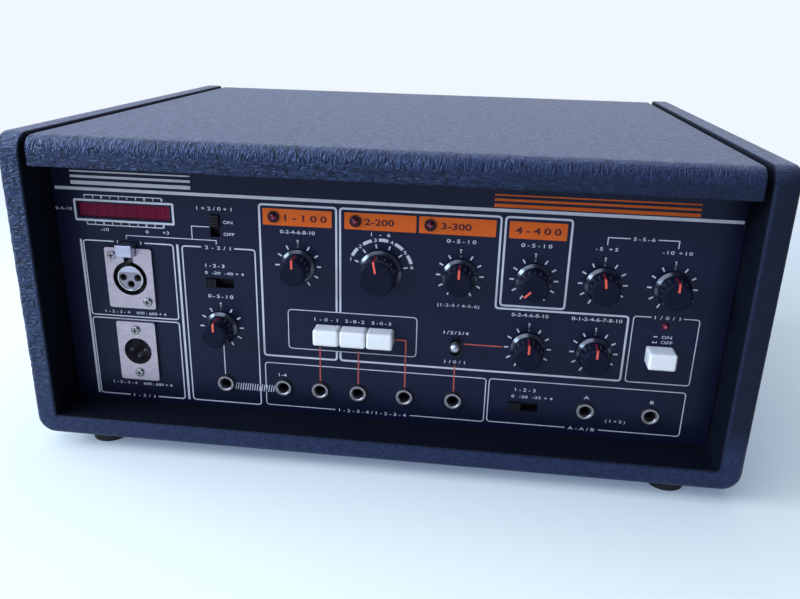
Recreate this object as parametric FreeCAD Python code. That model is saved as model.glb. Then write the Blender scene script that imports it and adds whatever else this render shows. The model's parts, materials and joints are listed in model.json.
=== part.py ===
import FreeCAD, Part
import math
import os

# A tape echo unit: a vinyl-covered wooden cabinet with a recessed control panel, a lifting lid
# and, inside, a sheet-metal chassis that carries the electronics below and the tape deck above.
# Millimetres.  X points to the right, Y to the back, Z up.
# The origin is midway between the feet, on the surface that the unit stands on.

vector = FreeCAD.Vector

# ---- clearances ----
running_clearance = 0.05      # radial, round a shaft that turns in its bearing
moving_gap = 0.3              # between faces that move past each other
fixing_clearance = 0.1        # radial, round a bushing that is clamped in a plate
side_clearance = 0.5          # chassis and panel to the cabinet's inside
match_tolerance = 0.01        # two places nearer than this count as the same

# ---- cabinet ----
width = 430.0
depth = 336.0
cabinet_height = 188.0
cheek_thickness = 13.5
bottom_thickness = 12.7
back_thickness = 9.0
back_recess = 10.0
lower_corner_radius = 11.0
cheek_nose_radius = 12.0
cover_edge_radius = 1.5
lid_ledge_width = 12.0
lid_ledge_height = 10.0

# ---- feet ----
foot_height = 10.0
foot_radius = 11.0
foot_top_radius = 12.0
foot_inset_x = 37.0
foot_inset_y = 22.0
foot_counterbore_radius = 4.5
foot_counterbore_depth = 5.0

# ---- lid ----
lid_drop = 1.0                # lid top below the cheek tops
lid_board_thickness = 10.0
lid_rail_height = 17.2
lid_rail_depth = 24.0
lid_side_gap = 3.2
lid_setback = 1.0
lid_front_radius = 8.0
lid_corner_radius = 2.0

# ---- lid hinges ----
hinge_spacing = 240.0
hinge_length = 50.0
hinge_leaf_thickness = 1.5
hinge_knuckle_radius = 3.0
hinge_pin_radius = 1.2
hinge_leaf_reach = 22.0

# ---- front panel ----
panel_recess = 28.6
panel_thickness = 2.0
panel_return_depth = 25.0
panel_return_thickness = 1.5
panel_return_margin = 12.0

# ---- chassis and tape deck ----
chassis_thickness = 1.5
chassis_flange_width = 12.0
chassis_back_gap = 4.0
deck_thickness = 2.0
tape_compartment_height = 47.0
deck_front_offset = 32.4      # behind the panel
deck_shelf_drop = 2.5         # shelf below the panel's top edge

# ---- panel layout ----
# Each place is a side, a distance and a height: the distance is from the panel's left edge,
# its middle or its right edge, and the height is above the cabinet's underside.
upper_row = 112.1
lower_row = 69.0
knob_layout = {               # with the pointer's angle at rest
    "input_volume_knob": ("left", 100.7, lower_row, 0.0),
    "chorus_intensity_knob": ("middle", -50.7, upper_row, 0.0),
    "echo_volume_knob": ("middle", 46.1, upper_row, 0.0),
    "reverb_volume_knob": ("right", 112.0, upper_row, -135.0),
    "bass_knob": ("right", 72.8, upper_row, 0.0),
    "treble_knob": ("right", 34.0, upper_row, 0.0),
    "echo_intensity_knob": ("right", 112.2, lower_row, 0.0),
    "repeat_rate_knob": ("right", 73.4, lower_row, 0.0),
}
mode_knob_layout = ("middle", -0.9, upper_row, -10.0)
direct_switch_layout = ("left", 100.0, 134.0)
input_level_layout = ("left", 100.8, 97.9)
output_level_layout = ("right", 111.7, 29.6)
power_button_layout = ("right", 35.6, 70.5)
power_lamp_layout = ("right", 34.6, 88.8)
input_connector_layout = ("left", 44.3, 97.8)
output_connector_layout = ("left", 44.6, 48.8)
jack_row = 30.3
jack_columns = (("left", 101.5), ("middle", -61.8), ("middle", -38.0), ("middle", -13.8),
                ("middle", 15.5), ("middle", 45.9), ("right", 74.3), ("right", 35.7))

# ---- rotary controls ----
pot_can_radius = 8.5
pot_can_depth = 9.5
pot_bushing_radius = 3.5
pot_bushing_reach = 5.0
pot_nut_width = 10.0
pot_nut_thickness = 2.0
rotary_can_radius = 15.0
rotary_can_depth = 20.0
shaft_radius = 3.0
shaft_grip = 5.0
pot_shaft_depth = 6.0
pot_lug_offsets = (-5.0, 0.0, 5.0)
pot_lug_width = 2.0
pot_lug_thickness = 1.2
pot_lug_setback = 2.0
pot_lug_overlap = 2.0
pot_lug_drop = 4.0
knob_skirt_edge = 0.5
knob_skirt_height = 3.0
knob_body_draft = 0.1          # the body's foot is this much wider than its face
knob_rim_bevel = 1.2
knob_gap = 1.0
knob_base_radius = 10.3
knob_face_radius = 8.1
knob_height = 15.0
mode_knob_base_radius = 12.8
mode_knob_face_radius = 10.5
mode_knob_height = 16.5
knob_recess_radius = 6.9
knob_recess_depth = 6.6
knob_rim_width = 1.0
knob_dish_depth = 0.3
pointer_width = 1.4
pointer_depth = 0.5
pointer_proud = 0.15
pointer_inner_radius = 2.2
pointer_side_length = 10.7
pointer_overrun = 2.0

# ---- push buttons ----
button_width = 15.9
button_height = 10.4
button_reach = 9.7
button_edge_radius = 1.6
button_centres = (-32.6, -16.2, 0.2)
button_row = 69.8
button_travel = 3.5
button_rear_length = 8.0
power_button_reach = 11.8
button_stem_width = 5.0
button_stem_height = 4.0
button_stem_length = 12.0
push_body_width = 13.0
push_body_height = 9.5
push_body_depth = 22.0
push_body_end_wall = 2.0
bracket_thickness = 1.2
bracket_leg_gap = 3.0

# ---- slide switches ----
slide_slot_length = 18.0
slide_slot_width = 6.0
slide_cap_length = 7.0
slide_cap_reach = 2.0
slide_body_depth = 9.0
slide_body_margin = 3.0
slide_pocket_depth = 4.0
slide_groove_pitch = 1.8
slide_groove_width = 0.7
direct_slot_length = 14.0

# ---- toggle switch ----
toggle_x = 45.8
toggle_row = 66.4
toggle_slot_width = 7.7
toggle_slot_height = 12.5
toggle_wall = 0.8
toggle_lip = 0.8
toggle_body_width = 13.0
toggle_body_height = 19.0
toggle_body_depth = 18.0
toggle_pivot_depth = 3.8
toggle_ball_radius = 3.0
toggle_pin_radius = 1.0
toggle_pin_reach = 4.5         # each way from the lever's middle
toggle_lever_reach = 10.0
toggle_root_radius = 2.0
toggle_tip_radius = 3.0
toggle_tilt = 13.0

# ---- lamps ----
lamp_places = (-64.8, -16.0, 27.8)
lamp_row = 141.6
lamp_bezel_radius = 3.45
lamp_bezel_thickness = 1.0
lamp_tube_radius = 2.9
lamp_tube_length = 9.0
lamp_lens_radius = 2.4
lamp_dome_height = 1.6
power_lamp_radius = 2.15

# ---- level meter ----
meter_inset = 14.8            # from the panel's left edge
meter_length = 57.5
meter_low = 135.3
meter_high = 144.0
meter_lens_setback = 1.2
meter_flange_margin = 2.0
meter_flange_thickness = 1.5
meter_board_gap = 8.0
meter_lamp_count = 10
meter_lamp_width = 4.4
meter_lamp_height = 5.0

# ---- chassis-mounted three-pin connectors ----
input_plate_width = 30.0
input_plate_height = 39.0
output_plate_width = 25.4
output_plate_height = 40.1
connector_plate_thickness = 2.0
plate_corner_radius = 1.5
input_ring_radius = 10.75
input_insert_radius = 8.2
connector_wall = 1.2
input_shell_depth = 20.0
insert_base_thickness = 3.0
contact_hole_radius = 1.75
contact_hole_depth = 12.0
output_recess_radius = 9.0
output_recess_depth = 14.0
pin_radius = 1.2
pin_setback = 1.0
contact_places = ((-4.65, 0.5), (4.65, 0.5), (0.0, -3.8))
neck_width = 5.7
latch_width = 10.4
latch_height = 7.4
latch_reach = 6.0
latch_rise = 19.0             # latch centre above the connector centre
latch_depth = 8.0
latch_edge_radius = 0.6
input_screw_offset = (10.2, 14.7)
output_screw_offset = (0.0, 14.7)

# ---- pan-head screws ----
screw_head_radius = 2.8
screw_head_height = 1.7
screw_shank_radius = 1.5
screw_slot_width = 0.8
screw_slot_depth = 0.8
screw_rounding = 0.6          # of the head's height
screw_slot_span = 0.6         # of the head's radius
foot_screw_depth = 9.0
connector_screw_length = 12.0
cover_screw_length = 10.0

# ---- quarter-inch jacks ----
jack_bore_radius = 3.25
jack_collar_radius = 5.3
jack_collar_thickness = 2.2
jack_collar_rounding = 0.8
jack_thread_radius = 4.5
jack_body_radius = 7.0
jack_body_length = 6.0
jack_block_width = 8.0
jack_block_height = 5.5
jack_block_depth = 8.0
jack_block_rise = 1.0
jack_leaf_width = 4.0
jack_leaf_thickness = 0.4
jack_leaf_length = 14.0
jack_leaf_rises = (1.0, 3.5)
jack_leaf_hook = 1.5

# ---- tape path ----
tape_width = 6.35
tape_thickness = 0.2
tape_rise = 6.0               # tape's lower edge above the deck
tape_line_offset = 43.0       # behind the deck's front
tape_side_offset = 17.0       # outside the chamber's ends
tape_entry_inset = 15.0       # behind the chamber's front
tape_fold_pitch = 13.0
tape_fold_count = 3
tape_fold_roundness = 0.45    # fold radius as a part of the pitch
tape_fold_inset = 24.5        # inside the chamber's ends
guide_radius = 6.0
guide_rim = 1.5
guide_rim_thickness = 1.5

# ---- tape chamber ----
chamber_left_gap = 34.5       # to the chassis wall
chamber_right_gap = 99.5
chamber_back_gap = 15.0
chamber_depth = 115.0
chamber_wall = 3.0
chamber_height = 16.0
chamber_slot = 6.0
chamber_cover_thickness = 2.0
chamber_post_radius = 4.0

# ---- tape heads ----
head_count = 5
head_pitch = 34.0
head_offset = 42.0            # from the capstan to the nearest head
head_width = 14.0
head_depth = 16.0
head_nose_radius = 9.0
head_plate_thickness = 3.0
head_plate_margin = 8.0
head_plate_setback = 2.0
head_plate_overhang = 4.0
head_top_margin = 2.0

# ---- capstan, motor and belt ----
capstan_inset = 127.5         # from the chassis's right wall
capstan_radius = 3.0
capstan_top_rise = 19.5       # above the deck
bearing_radius = 8.0
bearing_length = 36.0         # below the deck
bearing_flange_radius = 13.0
bearing_flange_thickness = 2.0
collar_radius = 5.0
collar_thickness = 2.0
flywheel_radius = 38.0
flywheel_thickness = 10.0
flywheel_drop = 3.0           # below the bearing and the motor
motor_offset_x = 78.0         # from the capstan
motor_offset_y = 18.6
motor_radius = 26.0
motor_height = 37.0
motor_shaft_radius = 2.0
motor_shaft_reach = 25.0
pulley_radius = 7.0
belt_width = 4.0
belt_thickness = 1.0

# ---- pinch roller ----
roller_radius = 9.0
roller_height = 10.0
roller_axle_radius = 2.0
roller_axle_tail = 1.0
pinch_pivot_offset_x = 33.0   # from the capstan
pinch_pivot_offset_y = 18.0   # in front of the tape
pinch_post_radius = 2.5
pinch_hub_radius = 5.5
pinch_arm_thickness = 2.0
pinch_arm_width = 11.0
roller_rise = 4.5             # above the deck

# ---- electronics ----
board_thickness = 1.6
board_standoff = 14.0
board_left_gap = 14.5         # to the chassis wall
board_right_gap = 114.5
board_front_gap = 42.4        # to the panel
board_tank_gap = 15.0
board_margin = 8.0
standoff_radius = 3.0
component_columns = 6
capacitor_radius = 8.0
capacitor_height = 24.0
capacitor_setback = 22.0
chip_length = 20.0
chip_width = 7.0
chip_height = 4.0
chip_rows = (30.0, 60.0)
transformer_inset_x = 54.5    # from the chassis's right wall
transformer_inset_y = 45.0    # from the chassis's back edge
core_width = 64.0
core_height = 54.0
core_depth = 24.0
core_leg = 20.0
core_yoke = 11.0
winding_depth = 46.0
transformer_foot_width = 84.0
transformer_foot_thickness = 2.0
tank_left_gap = 14.5          # to the chassis wall
tank_right_gap = 154.5
tank_back_gap = 7.0
tank_width = 83.0
tank_height = 34.0
tank_wall = 1.2
tank_block_length = 12.0
tank_block_width = 60.0
tank_block_height = 18.0
tank_spring_radius = 2.2
tank_spring_count = 3

# ---- cord gland ----
gland_inset = 51.5            # from the right cheek
gland_row = 40.0
gland_body_radius = 6.5
gland_bore_radius = 3.5
gland_flange_radius = 9.5
gland_flange_thickness = 4.0

# ---- places that follow from the sizes ----
front_y = -depth / 2
back_y = depth / 2
inner_half = width / 2 - cheek_thickness
cabinet_bottom = foot_height
floor_top = cabinet_bottom + bottom_thickness
cabinet_top = cabinet_bottom + cabinet_height
back_outer = back_y - back_recess
back_inner = back_outer - back_thickness
lid_top = cabinet_top - lid_drop
lid_underside = lid_top - lid_board_thickness
rail_underside = lid_top - lid_rail_height
panel_front = front_y + panel_recess
panel_back = panel_front + panel_thickness
panel_top = rail_underside - moving_gap
panel_half = inner_half - side_clearance
chassis_inner = panel_half - chassis_thickness
chassis_back = back_inner - chassis_back_gap
chassis_floor = floor_top + chassis_thickness
deck_top = lid_underside - tape_compartment_height
deck_bottom = deck_top - deck_thickness
deck_front = panel_back + deck_front_offset
shelf_top = panel_top - deck_shelf_drop
shelf_half = inner_half - lid_ledge_width - side_clearance
gland_x = inner_half - gland_inset
hinge_y = back_outer + moving_gap + hinge_knuckle_radius
hinge_z = lid_underside - hinge_knuckle_radius
back_top = lid_underside - hinge_leaf_thickness - moving_gap
tape_bottom = deck_top + tape_rise
tape_line_y = deck_front + tape_line_offset
chamber_left = -chassis_inner + chamber_left_gap
chamber_right = chassis_inner - chamber_right_gap
chamber_back = chassis_back - chamber_back_gap
chamber_front = chamber_back - chamber_depth
tape_entry_y = chamber_front + tape_entry_inset
tape_fold_left = chamber_left + tape_fold_inset
tape_fold_right = chamber_right - tape_fold_inset
tape_left = chamber_left - tape_side_offset
tape_right = chamber_right + tape_side_offset
chamber_top = deck_top + chamber_height
capstan_x = chassis_inner - capstan_inset
capstan_y = tape_line_y + tape_thickness / 2 + moving_gap + capstan_radius
motor_x = capstan_x + motor_offset_x
motor_y = capstan_y + motor_offset_y
pinch_pivot_x = capstan_x + pinch_pivot_offset_x
pinch_pivot_y = tape_line_y - pinch_pivot_offset_y
head_places = [capstan_x - head_offset - index * head_pitch for index in range(head_count)]
roller_x = capstan_x
roller_y = tape_line_y - tape_thickness / 2 - moving_gap - roller_radius
bearing_bottom = deck_top - bearing_length
motor_bottom = deck_bottom - motor_height
flywheel_top = min(bearing_bottom, motor_bottom) - flywheel_drop
flywheel_bottom = flywheel_top - flywheel_thickness
tank_left = -chassis_inner + tank_left_gap
tank_right = chassis_inner - tank_right_gap
tank_back = chassis_back - tank_back_gap
tank_front = tank_back - tank_width
board_left = -chassis_inner + board_left_gap
board_right = chassis_inner - board_right_gap
board_front = panel_back + board_front_gap
board_back = tank_front - board_tank_gap
transformer_x = chassis_inner - transformer_inset_x
transformer_y = chassis_back - transformer_inset_y
foot_places = [(sx * (width / 2 - foot_inset_x), sy * (depth / 2 - foot_inset_y))
               for sx in (-1, 1) for sy in (-1, 1)]


def panel_x(side, distance):
    """X of a place that is given from the panel's left edge, its middle or its right edge."""
    return {"left": distance - panel_half, "middle": distance, "right": panel_half - distance}[side]


def panel_place(side, distance, *rest):
    return (panel_x(side, distance),) + rest


knobs = {name: panel_place(*layout) for name, layout in knob_layout.items()}
mode_knob_place = panel_place(*mode_knob_layout)
direct_switch_place = panel_place(*direct_switch_layout)
input_level_place = panel_place(*input_level_layout)
output_level_place = panel_place(*output_level_layout)
power_button_x, power_button_row = panel_place(*power_button_layout)
power_lamp_place = panel_place(*power_lamp_layout)
input_connector_place = panel_place(*input_connector_layout)
output_connector_place = panel_place(*output_connector_layout)
jack_places = [panel_x(*column) for column in jack_columns]
meter_left = meter_inset - panel_half
meter_window = (meter_left, meter_left + meter_length, meter_low, meter_high)


# ---- shape helpers ----
def level(height):
    """Z of a height that is given above the cabinet's underside."""
    return cabinet_bottom + height


def box(x0, x1, y0, y1, z0, z1):
    return Part.makeBox(x1 - x0, y1 - y0, z1 - z0, vector(x0, y0, z0))


def cylinder_x(radius, y, z, x0, x1):
    return Part.makeCylinder(radius, x1 - x0, vector(x0, y, z), vector(1, 0, 0))


def cylinder_y(radius, x, z, y0, y1):
    return Part.makeCylinder(radius, y1 - y0, vector(x, y0, z), vector(0, 1, 0))


def cylinder_z(radius, x, y, z0, z1):
    return Part.makeCylinder(radius, z1 - z0, vector(x, y, z0), vector(0, 0, 1))


def fuse(*shapes):
    return shapes[0].fuse(list(shapes[1:])).removeSplitter()


def cut(shape, *tools):
    return shape.cut(list(tools))


def round_edges(shape, radius, chosen):
    """Fillet the straight edges whose direction and middle point pass the test chosen."""
    edges = []
    for edge in shape.Edges:
        if edge.Curve.TypeId == "Part::GeomLine":
            direction = edge.tangentAt(edge.FirstParameter)
            if chosen(direction, edge.CenterOfMass):
                edges.append(edge)
    return shape.makeFillet(radius, edges)


def near(a, b):
    return abs(a - b) < match_tolerance


def rounded_plate(x, z, plate_width, plate_height, radius, y0, y1):
    plate = box(x - plate_width / 2, x + plate_width / 2, y0, y1,
                z - plate_height / 2, z + plate_height / 2)
    return round_edges(plate, radius, lambda direction, middle: abs(direction.y) > 0.9)


def oval_block(x, z, block_width, block_height, y0, y1):
    """A block along Y with half-round ends above and below."""
    radius = block_width / 2
    reach = block_height / 2 - radius
    middle = box(x - radius, x + radius, y0, y1, z - reach, z + reach)
    ends = [cylinder_y(radius, x, z + sign * reach, y0, y1) for sign in (-1, 1)]
    return fuse(middle, *ends)


def solids_of(*shapes):
    found = []
    for shape in shapes:
        found.extend(shape.Solids)
    return found


def save(name, *shapes):
    """Write one sub-part, as one solid or as a group of separate solids."""
    solids = solids_of(*shapes)
    shape = solids[0] if len(solids) == 1 else Part.makeCompound(solids)
    shape.exportStep("parts/" + name + ".step")


# ---- cabinet ----
def make_cheek(side):
    outer = side * width / 2
    inner = side * inner_half
    board = box(min(outer, inner), max(outer, inner), front_y, back_y, cabinet_bottom, cabinet_top)
    board = round_edges(board, cheek_nose_radius,
                        lambda d, m: abs(d.x) > 0.9 and near(m.y, front_y) and near(m.z, cabinet_top))
    board = round_edges(board, lower_corner_radius,
                        lambda d, m: abs(d.y) > 0.9 and near(m.x, outer) and near(m.z, cabinet_bottom))
    board = round_edges(board, cover_edge_radius,
                        lambda d, m: abs(d.y) > 0.9 and near(m.z, cabinet_top))
    ledge_edge = side * (inner_half - lid_ledge_width)
    ledge_top = lid_underside - moving_gap
    ledge = box(min(inner, ledge_edge), max(inner, ledge_edge), panel_back, back_inner,
                ledge_top - lid_ledge_height, ledge_top)
    return fuse(board, ledge)


def make_bottom_board():
    board = box(-inner_half, inner_half, front_y, back_y, cabinet_bottom, floor_top)
    board = round_edges(board, cover_edge_radius,
                        lambda d, m: abs(d.x) > 0.9 and near(m.y, front_y) and near(m.z, floor_top))
    return cut(board, *[screw_hole_z(x, y, cabinet_bottom) for x, y in foot_places])


def screw_hole_z(x, y, z0):
    return cylinder_z(screw_shank_radius, x, y, z0, z0 + foot_screw_depth)


def make_back_board():
    board = box(-inner_half, inner_half, back_inner, back_outer, floor_top, back_top)
    return cut(board, cylinder_y(gland_body_radius, gland_x, level(gland_row), back_inner, back_outer))


def make_feet():
    feet = []
    for x, y in foot_places:
        foot = Part.makeCone(foot_radius, foot_top_radius, foot_height, vector(x, y, 0))
        counterbore = cylinder_z(foot_counterbore_radius, x, y, 0, foot_counterbore_depth)
        shank_hole = cylinder_z(screw_shank_radius, x, y, 0, foot_height)
        feet.append(cut(foot, counterbore, shank_hole))
    return feet


# ---- lid and hinges ----
def make_lid():
    half = inner_half - lid_side_gap
    board = box(-half, half, front_y + lid_setback, back_y - lid_setback, lid_underside, lid_top)
    rail = box(-half, half, front_y + lid_setback, front_y + lid_setback + lid_rail_depth,
               rail_underside, lid_top)
    lid = fuse(board, rail)
    front = front_y + lid_setback
    lid = round_edges(lid, lid_front_radius,
                      lambda d, m: abs(d.x) > 0.9 and near(m.y, front) and near(m.z, lid_top))
    lid = round_edges(lid, lid_corner_radius,
                      lambda d, m: abs(d.z) > 0.9 and near(m.y, front))
    lid = round_edges(lid, cover_edge_radius,
                      lambda d, m: abs(d.x) > 0.9 and near(m.y, front) and near(m.z, rail_underside))
    return lid


def hinge_centres():
    return (-hinge_spacing / 2, hinge_spacing / 2)


def knuckle(x0, x1, bore_radius):
    barrel = cylinder_x(hinge_knuckle_radius, hinge_y, hinge_z, x0, x1)
    return barrel, cylinder_x(bore_radius, hinge_y, hinge_z, x0, x1)


def make_lid_hinge_leaves():
    leaves = []
    for x in hinge_centres():
        reach = hinge_length / 6 - moving_gap
        barrel, bore = knuckle(x - reach, x + reach, hinge_pin_radius + running_clearance)
        leaf = box(x - hinge_length / 2, x + hinge_length / 2, hinge_y - hinge_leaf_reach, hinge_y,
                   lid_underside - hinge_leaf_thickness, lid_underside)
        relief = [box(min(a, b), max(a, b), back_outer, hinge_y,
                      lid_underside - hinge_leaf_thickness, lid_underside)
                  for a, b in ((x - hinge_length / 2, x - reach), (x + reach, x + hinge_length / 2))]
        leaves.append(cut(fuse(barrel, cut(leaf, *relief)), bore))
    return leaves


def make_cabinet_hinge_leaves():
    pieces = []
    for x in hinge_centres():
        left = x - hinge_length / 2
        right = x + hinge_length / 2
        gap = hinge_length / 6
        leaf = box(left, right, back_outer, back_outer + hinge_leaf_thickness,
                   hinge_z - hinge_leaf_reach, hinge_z)
        bores = []
        barrels = []
        for x0, x1 in ((left, x - gap), (x + gap, right)):
            barrel, bore = knuckle(x0, x1, hinge_pin_radius)
            barrels.append(barrel)
            bores.append(bore)
        relief = box(x - gap, x + gap, back_outer, back_outer + hinge_leaf_thickness,
                     hinge_z - hinge_knuckle_radius - moving_gap, hinge_z)
        pieces.append(cut(fuse(cut(leaf, relief), *barrels), *bores))
        pieces.append(cylinder_x(hinge_pin_radius, hinge_y, hinge_z, left, right))
    return pieces


# ---- screws ----
def make_screw(head_seat, direction, length):
    """A pan-head screw whose head sits on head_seat and whose shank runs along direction."""
    head = Part.makeCylinder(screw_head_radius, screw_head_height, vector(0, 0, -screw_head_height))
    rim = [edge for edge in head.Edges
           if edge.Curve.TypeId == "Part::GeomCircle" and near(edge.CenterOfMass.z, -screw_head_height)]
    head = head.makeFillet(screw_head_height * screw_rounding, rim)
    shank = Part.makeCylinder(screw_shank_radius, length)
    reach = screw_head_radius * screw_slot_span
    top = -screw_head_height
    slots = [box(-a, a, -b, b, top, top + screw_slot_depth)
             for a, b in ((reach, screw_slot_width / 2), (screw_slot_width / 2, reach))]
    screw = cut(fuse(head, shank), *slots)
    screw.Placement = FreeCAD.Placement(head_seat, FreeCAD.Rotation(vector(0, 0, 1), direction))
    return screw


def connector_screw_places():
    x, height = input_connector_place
    dx, dz = input_screw_offset
    places = [(x - dx, level(height) + dz), (x + dx, level(height) - dz)]
    x, height = output_connector_place
    dx, dz = output_screw_offset
    places += [(x - dx, level(height) + dz), (x + dx, level(height) - dz)]
    return places


def chamber_post_places():
    offset = chamber_wall + chamber_post_radius
    return [(x, y) for x in (chamber_left + offset, chamber_right - offset)
            for y in (chamber_front + offset, chamber_back - offset)]


def make_screws():
    plate_front = panel_front - connector_plate_thickness
    cover_top = chamber_top + chamber_cover_thickness
    screws = [make_screw(vector(x, plate_front, z), vector(0, 1, 0), connector_screw_length)
              for x, z in connector_screw_places()]
    foot_shank = foot_height - foot_counterbore_depth + foot_screw_depth
    screws += [make_screw(vector(x, y, foot_counterbore_depth), vector(0, 0, 1), foot_shank)
               for x, y in foot_places]
    screws += [make_screw(vector(x, y, cover_top), vector(0, 0, -1), cover_screw_length)
               for x, y in chamber_post_places()]
    return screws


# ---- front panel ----
def button_slot(x, row, opening_width):
    half_width = opening_width / 2 + moving_gap
    half_height = button_height / 2 + moving_gap
    z = level(row)
    return box(x - half_width, x + half_width, panel_front, panel_back, z - half_height, z + half_height)


def bank_centre():
    return (button_centres[0] + button_centres[-1]) / 2


def bank_width():
    return button_centres[-1] - button_centres[0] + button_width


def slide_slot(place, length, upright, y0, y1):
    x, row = place
    half_x = slide_slot_width / 2 if upright else length / 2
    half_z = length / 2 if upright else slide_slot_width / 2
    return box(x - half_x, x + half_x, y0, y1, level(row) - half_z, level(row) + half_z)


slide_switch_layout = {
    "direct_slider": (direct_switch_place, direct_slot_length, True, 1),
    "input_level_slider": (input_level_place, slide_slot_length, False, -1),
    "output_level_slider": (output_level_place, slide_slot_length, False, -1),
}


def meter_opening(y0, y1, margin):
    left, right, low, high = meter_window
    return box(left - margin, right + margin, y0, y1, level(low) - margin, level(high) + margin)


def make_front_panel():
    plate = box(-panel_half, panel_half, panel_front, panel_back, floor_top, panel_top)
    holes = []
    for x, row, _ in list(knobs.values()) + [mode_knob_place]:
        holes.append(cylinder_y(pot_bushing_radius + fixing_clearance, x, level(row),
                                panel_front, panel_back))
    for x in jack_places:
        holes.append(cylinder_y(jack_thread_radius + fixing_clearance, x, level(jack_row),
                                panel_front, panel_back))
    for x in lamp_places:
        holes.append(cylinder_y(lamp_tube_radius, x, level(lamp_row), panel_front, panel_back))
    x, row = power_lamp_place
    holes.append(cylinder_y(power_lamp_radius, x, level(row), panel_front, panel_back))
    holes.append(button_slot(bank_centre(), button_row, bank_width()))
    holes.append(button_slot(power_button_x, power_button_row, button_width))
    for place, length, upright, _ in slide_switch_layout.values():
        holes.append(slide_slot(place, length, upright, panel_front, panel_back))
    holes.append(oval_block(toggle_x, level(toggle_row), toggle_slot_width, toggle_slot_height,
                            panel_front, panel_back))
    holes.append(meter_opening(panel_front, panel_back, 0))
    x, row = input_connector_place
    holes.append(cylinder_y(input_ring_radius + connector_wall, x, level(row),
                            panel_front, panel_back))
    holes.append(latch_block(panel_front, panel_back, moving_gap))
    x, row = output_connector_place
    holes.append(cylinder_y(output_recess_radius + connector_wall, x, level(row),
                            panel_front, panel_back))
    for x, z in connector_screw_places():
        holes.append(cylinder_y(screw_shank_radius, x, z, panel_front, panel_back))
    plate = cut(plate, *holes)
    returns = []
    for side in (-1, 1):
        outer = side * chassis_inner
        inner = side * (chassis_inner - panel_return_thickness)
        returns.append(box(min(outer, inner), max(outer, inner), panel_back, panel_back + panel_return_depth,
                           floor_top + panel_return_margin, deck_bottom - panel_return_margin))
    return fuse(plate, *returns)


# ---- chassis ----
def make_chassis():
    base = box(-panel_half, panel_half, panel_back, chassis_back, floor_top, chassis_floor)
    walls = []
    for side in (-1, 1):
        outer = side * panel_half
        inner = side * chassis_inner
        lip = side * (chassis_inner - chassis_flange_width)
        walls.append(box(min(outer, inner), max(outer, inner), panel_back, chassis_back,
                         floor_top, deck_bottom))
        walls.append(box(min(outer, lip), max(outer, lip), deck_front, chassis_back,
                         deck_bottom - chassis_thickness, deck_bottom))
    return fuse(base, *walls)


# ---- rotary controls ----
def make_pot(x, row, can_radius, can_depth):
    """A control body behind the panel, its bushing through the panel and the nut in front."""
    z = level(row)
    bushing_front = panel_front - pot_bushing_reach
    can = fuse(cylinder_y(can_radius, x, z, panel_back, panel_back + can_depth),
               cylinder_y(pot_bushing_radius, x, z, bushing_front, panel_back))
    lug_front = panel_back + pot_lug_setback
    lugs = [box(x + dx - pot_lug_width / 2, x + dx + pot_lug_width / 2,
                lug_front, lug_front + pot_lug_thickness,
                z - can_radius - pot_lug_drop, z - can_radius + pot_lug_overlap)
            for dx in pot_lug_offsets]
    bore = cylinder_y(shaft_radius + running_clearance, x, z, bushing_front,
                      panel_back + pot_shaft_depth + moving_gap)
    nut = Part.makePolygon([vector(x + pot_nut_width / math.sqrt(3) * math.cos(math.radians(a)), 0,
                                   z + pot_nut_width / math.sqrt(3) * math.sin(math.radians(a)))
                            for a in range(0, 361, 60)])
    nut = Part.Face(nut).extrude(vector(0, pot_nut_thickness, 0))
    nut.translate(vector(0, panel_front - pot_nut_thickness, 0))
    nut = cut(nut, cylinder_y(pot_bushing_radius, x, z, bushing_front, panel_back))
    return [cut(fuse(can, *lugs), bore), nut]


def make_pots():
    pieces = []
    for x, row, _ in knobs.values():
        pieces += make_pot(x, row, pot_can_radius, pot_can_depth)
    return pieces


def make_rotary_switch():
    x, row, _ = mode_knob_place
    return make_pot(x, row, rotary_can_radius, rotary_can_depth)


def knob_outline(base_radius, face_radius, height, growth):
    """Points of the knob's outer half profile, radius against depth, grown outward by growth."""
    rear = panel_front - knob_gap
    face = rear - height
    shoulder = rear - knob_skirt_height
    body_radius = face_radius + knob_body_draft
    rim_inside = face_radius - knob_rim_width - knob_rim_bevel
    return [(base_radius + growth, rear), (base_radius + growth, rear - knob_skirt_edge),
            (body_radius + growth, shoulder),
            (face_radius + growth, face + knob_rim_bevel), (face_radius - knob_rim_bevel, face - growth),
            (rim_inside, face - growth), (rim_inside - knob_dish_depth, face + knob_dish_depth - growth)]


def revolve(points, x, z):
    corners = [vector(radius, y, 0) for radius, y in points]
    face = Part.Face(Part.makePolygon(corners + corners[:1]))
    solid = face.revolve(vector(0, 0, 0), vector(0, 1, 0), 360)
    solid.translate(vector(x, 0, z))
    return solid


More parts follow.
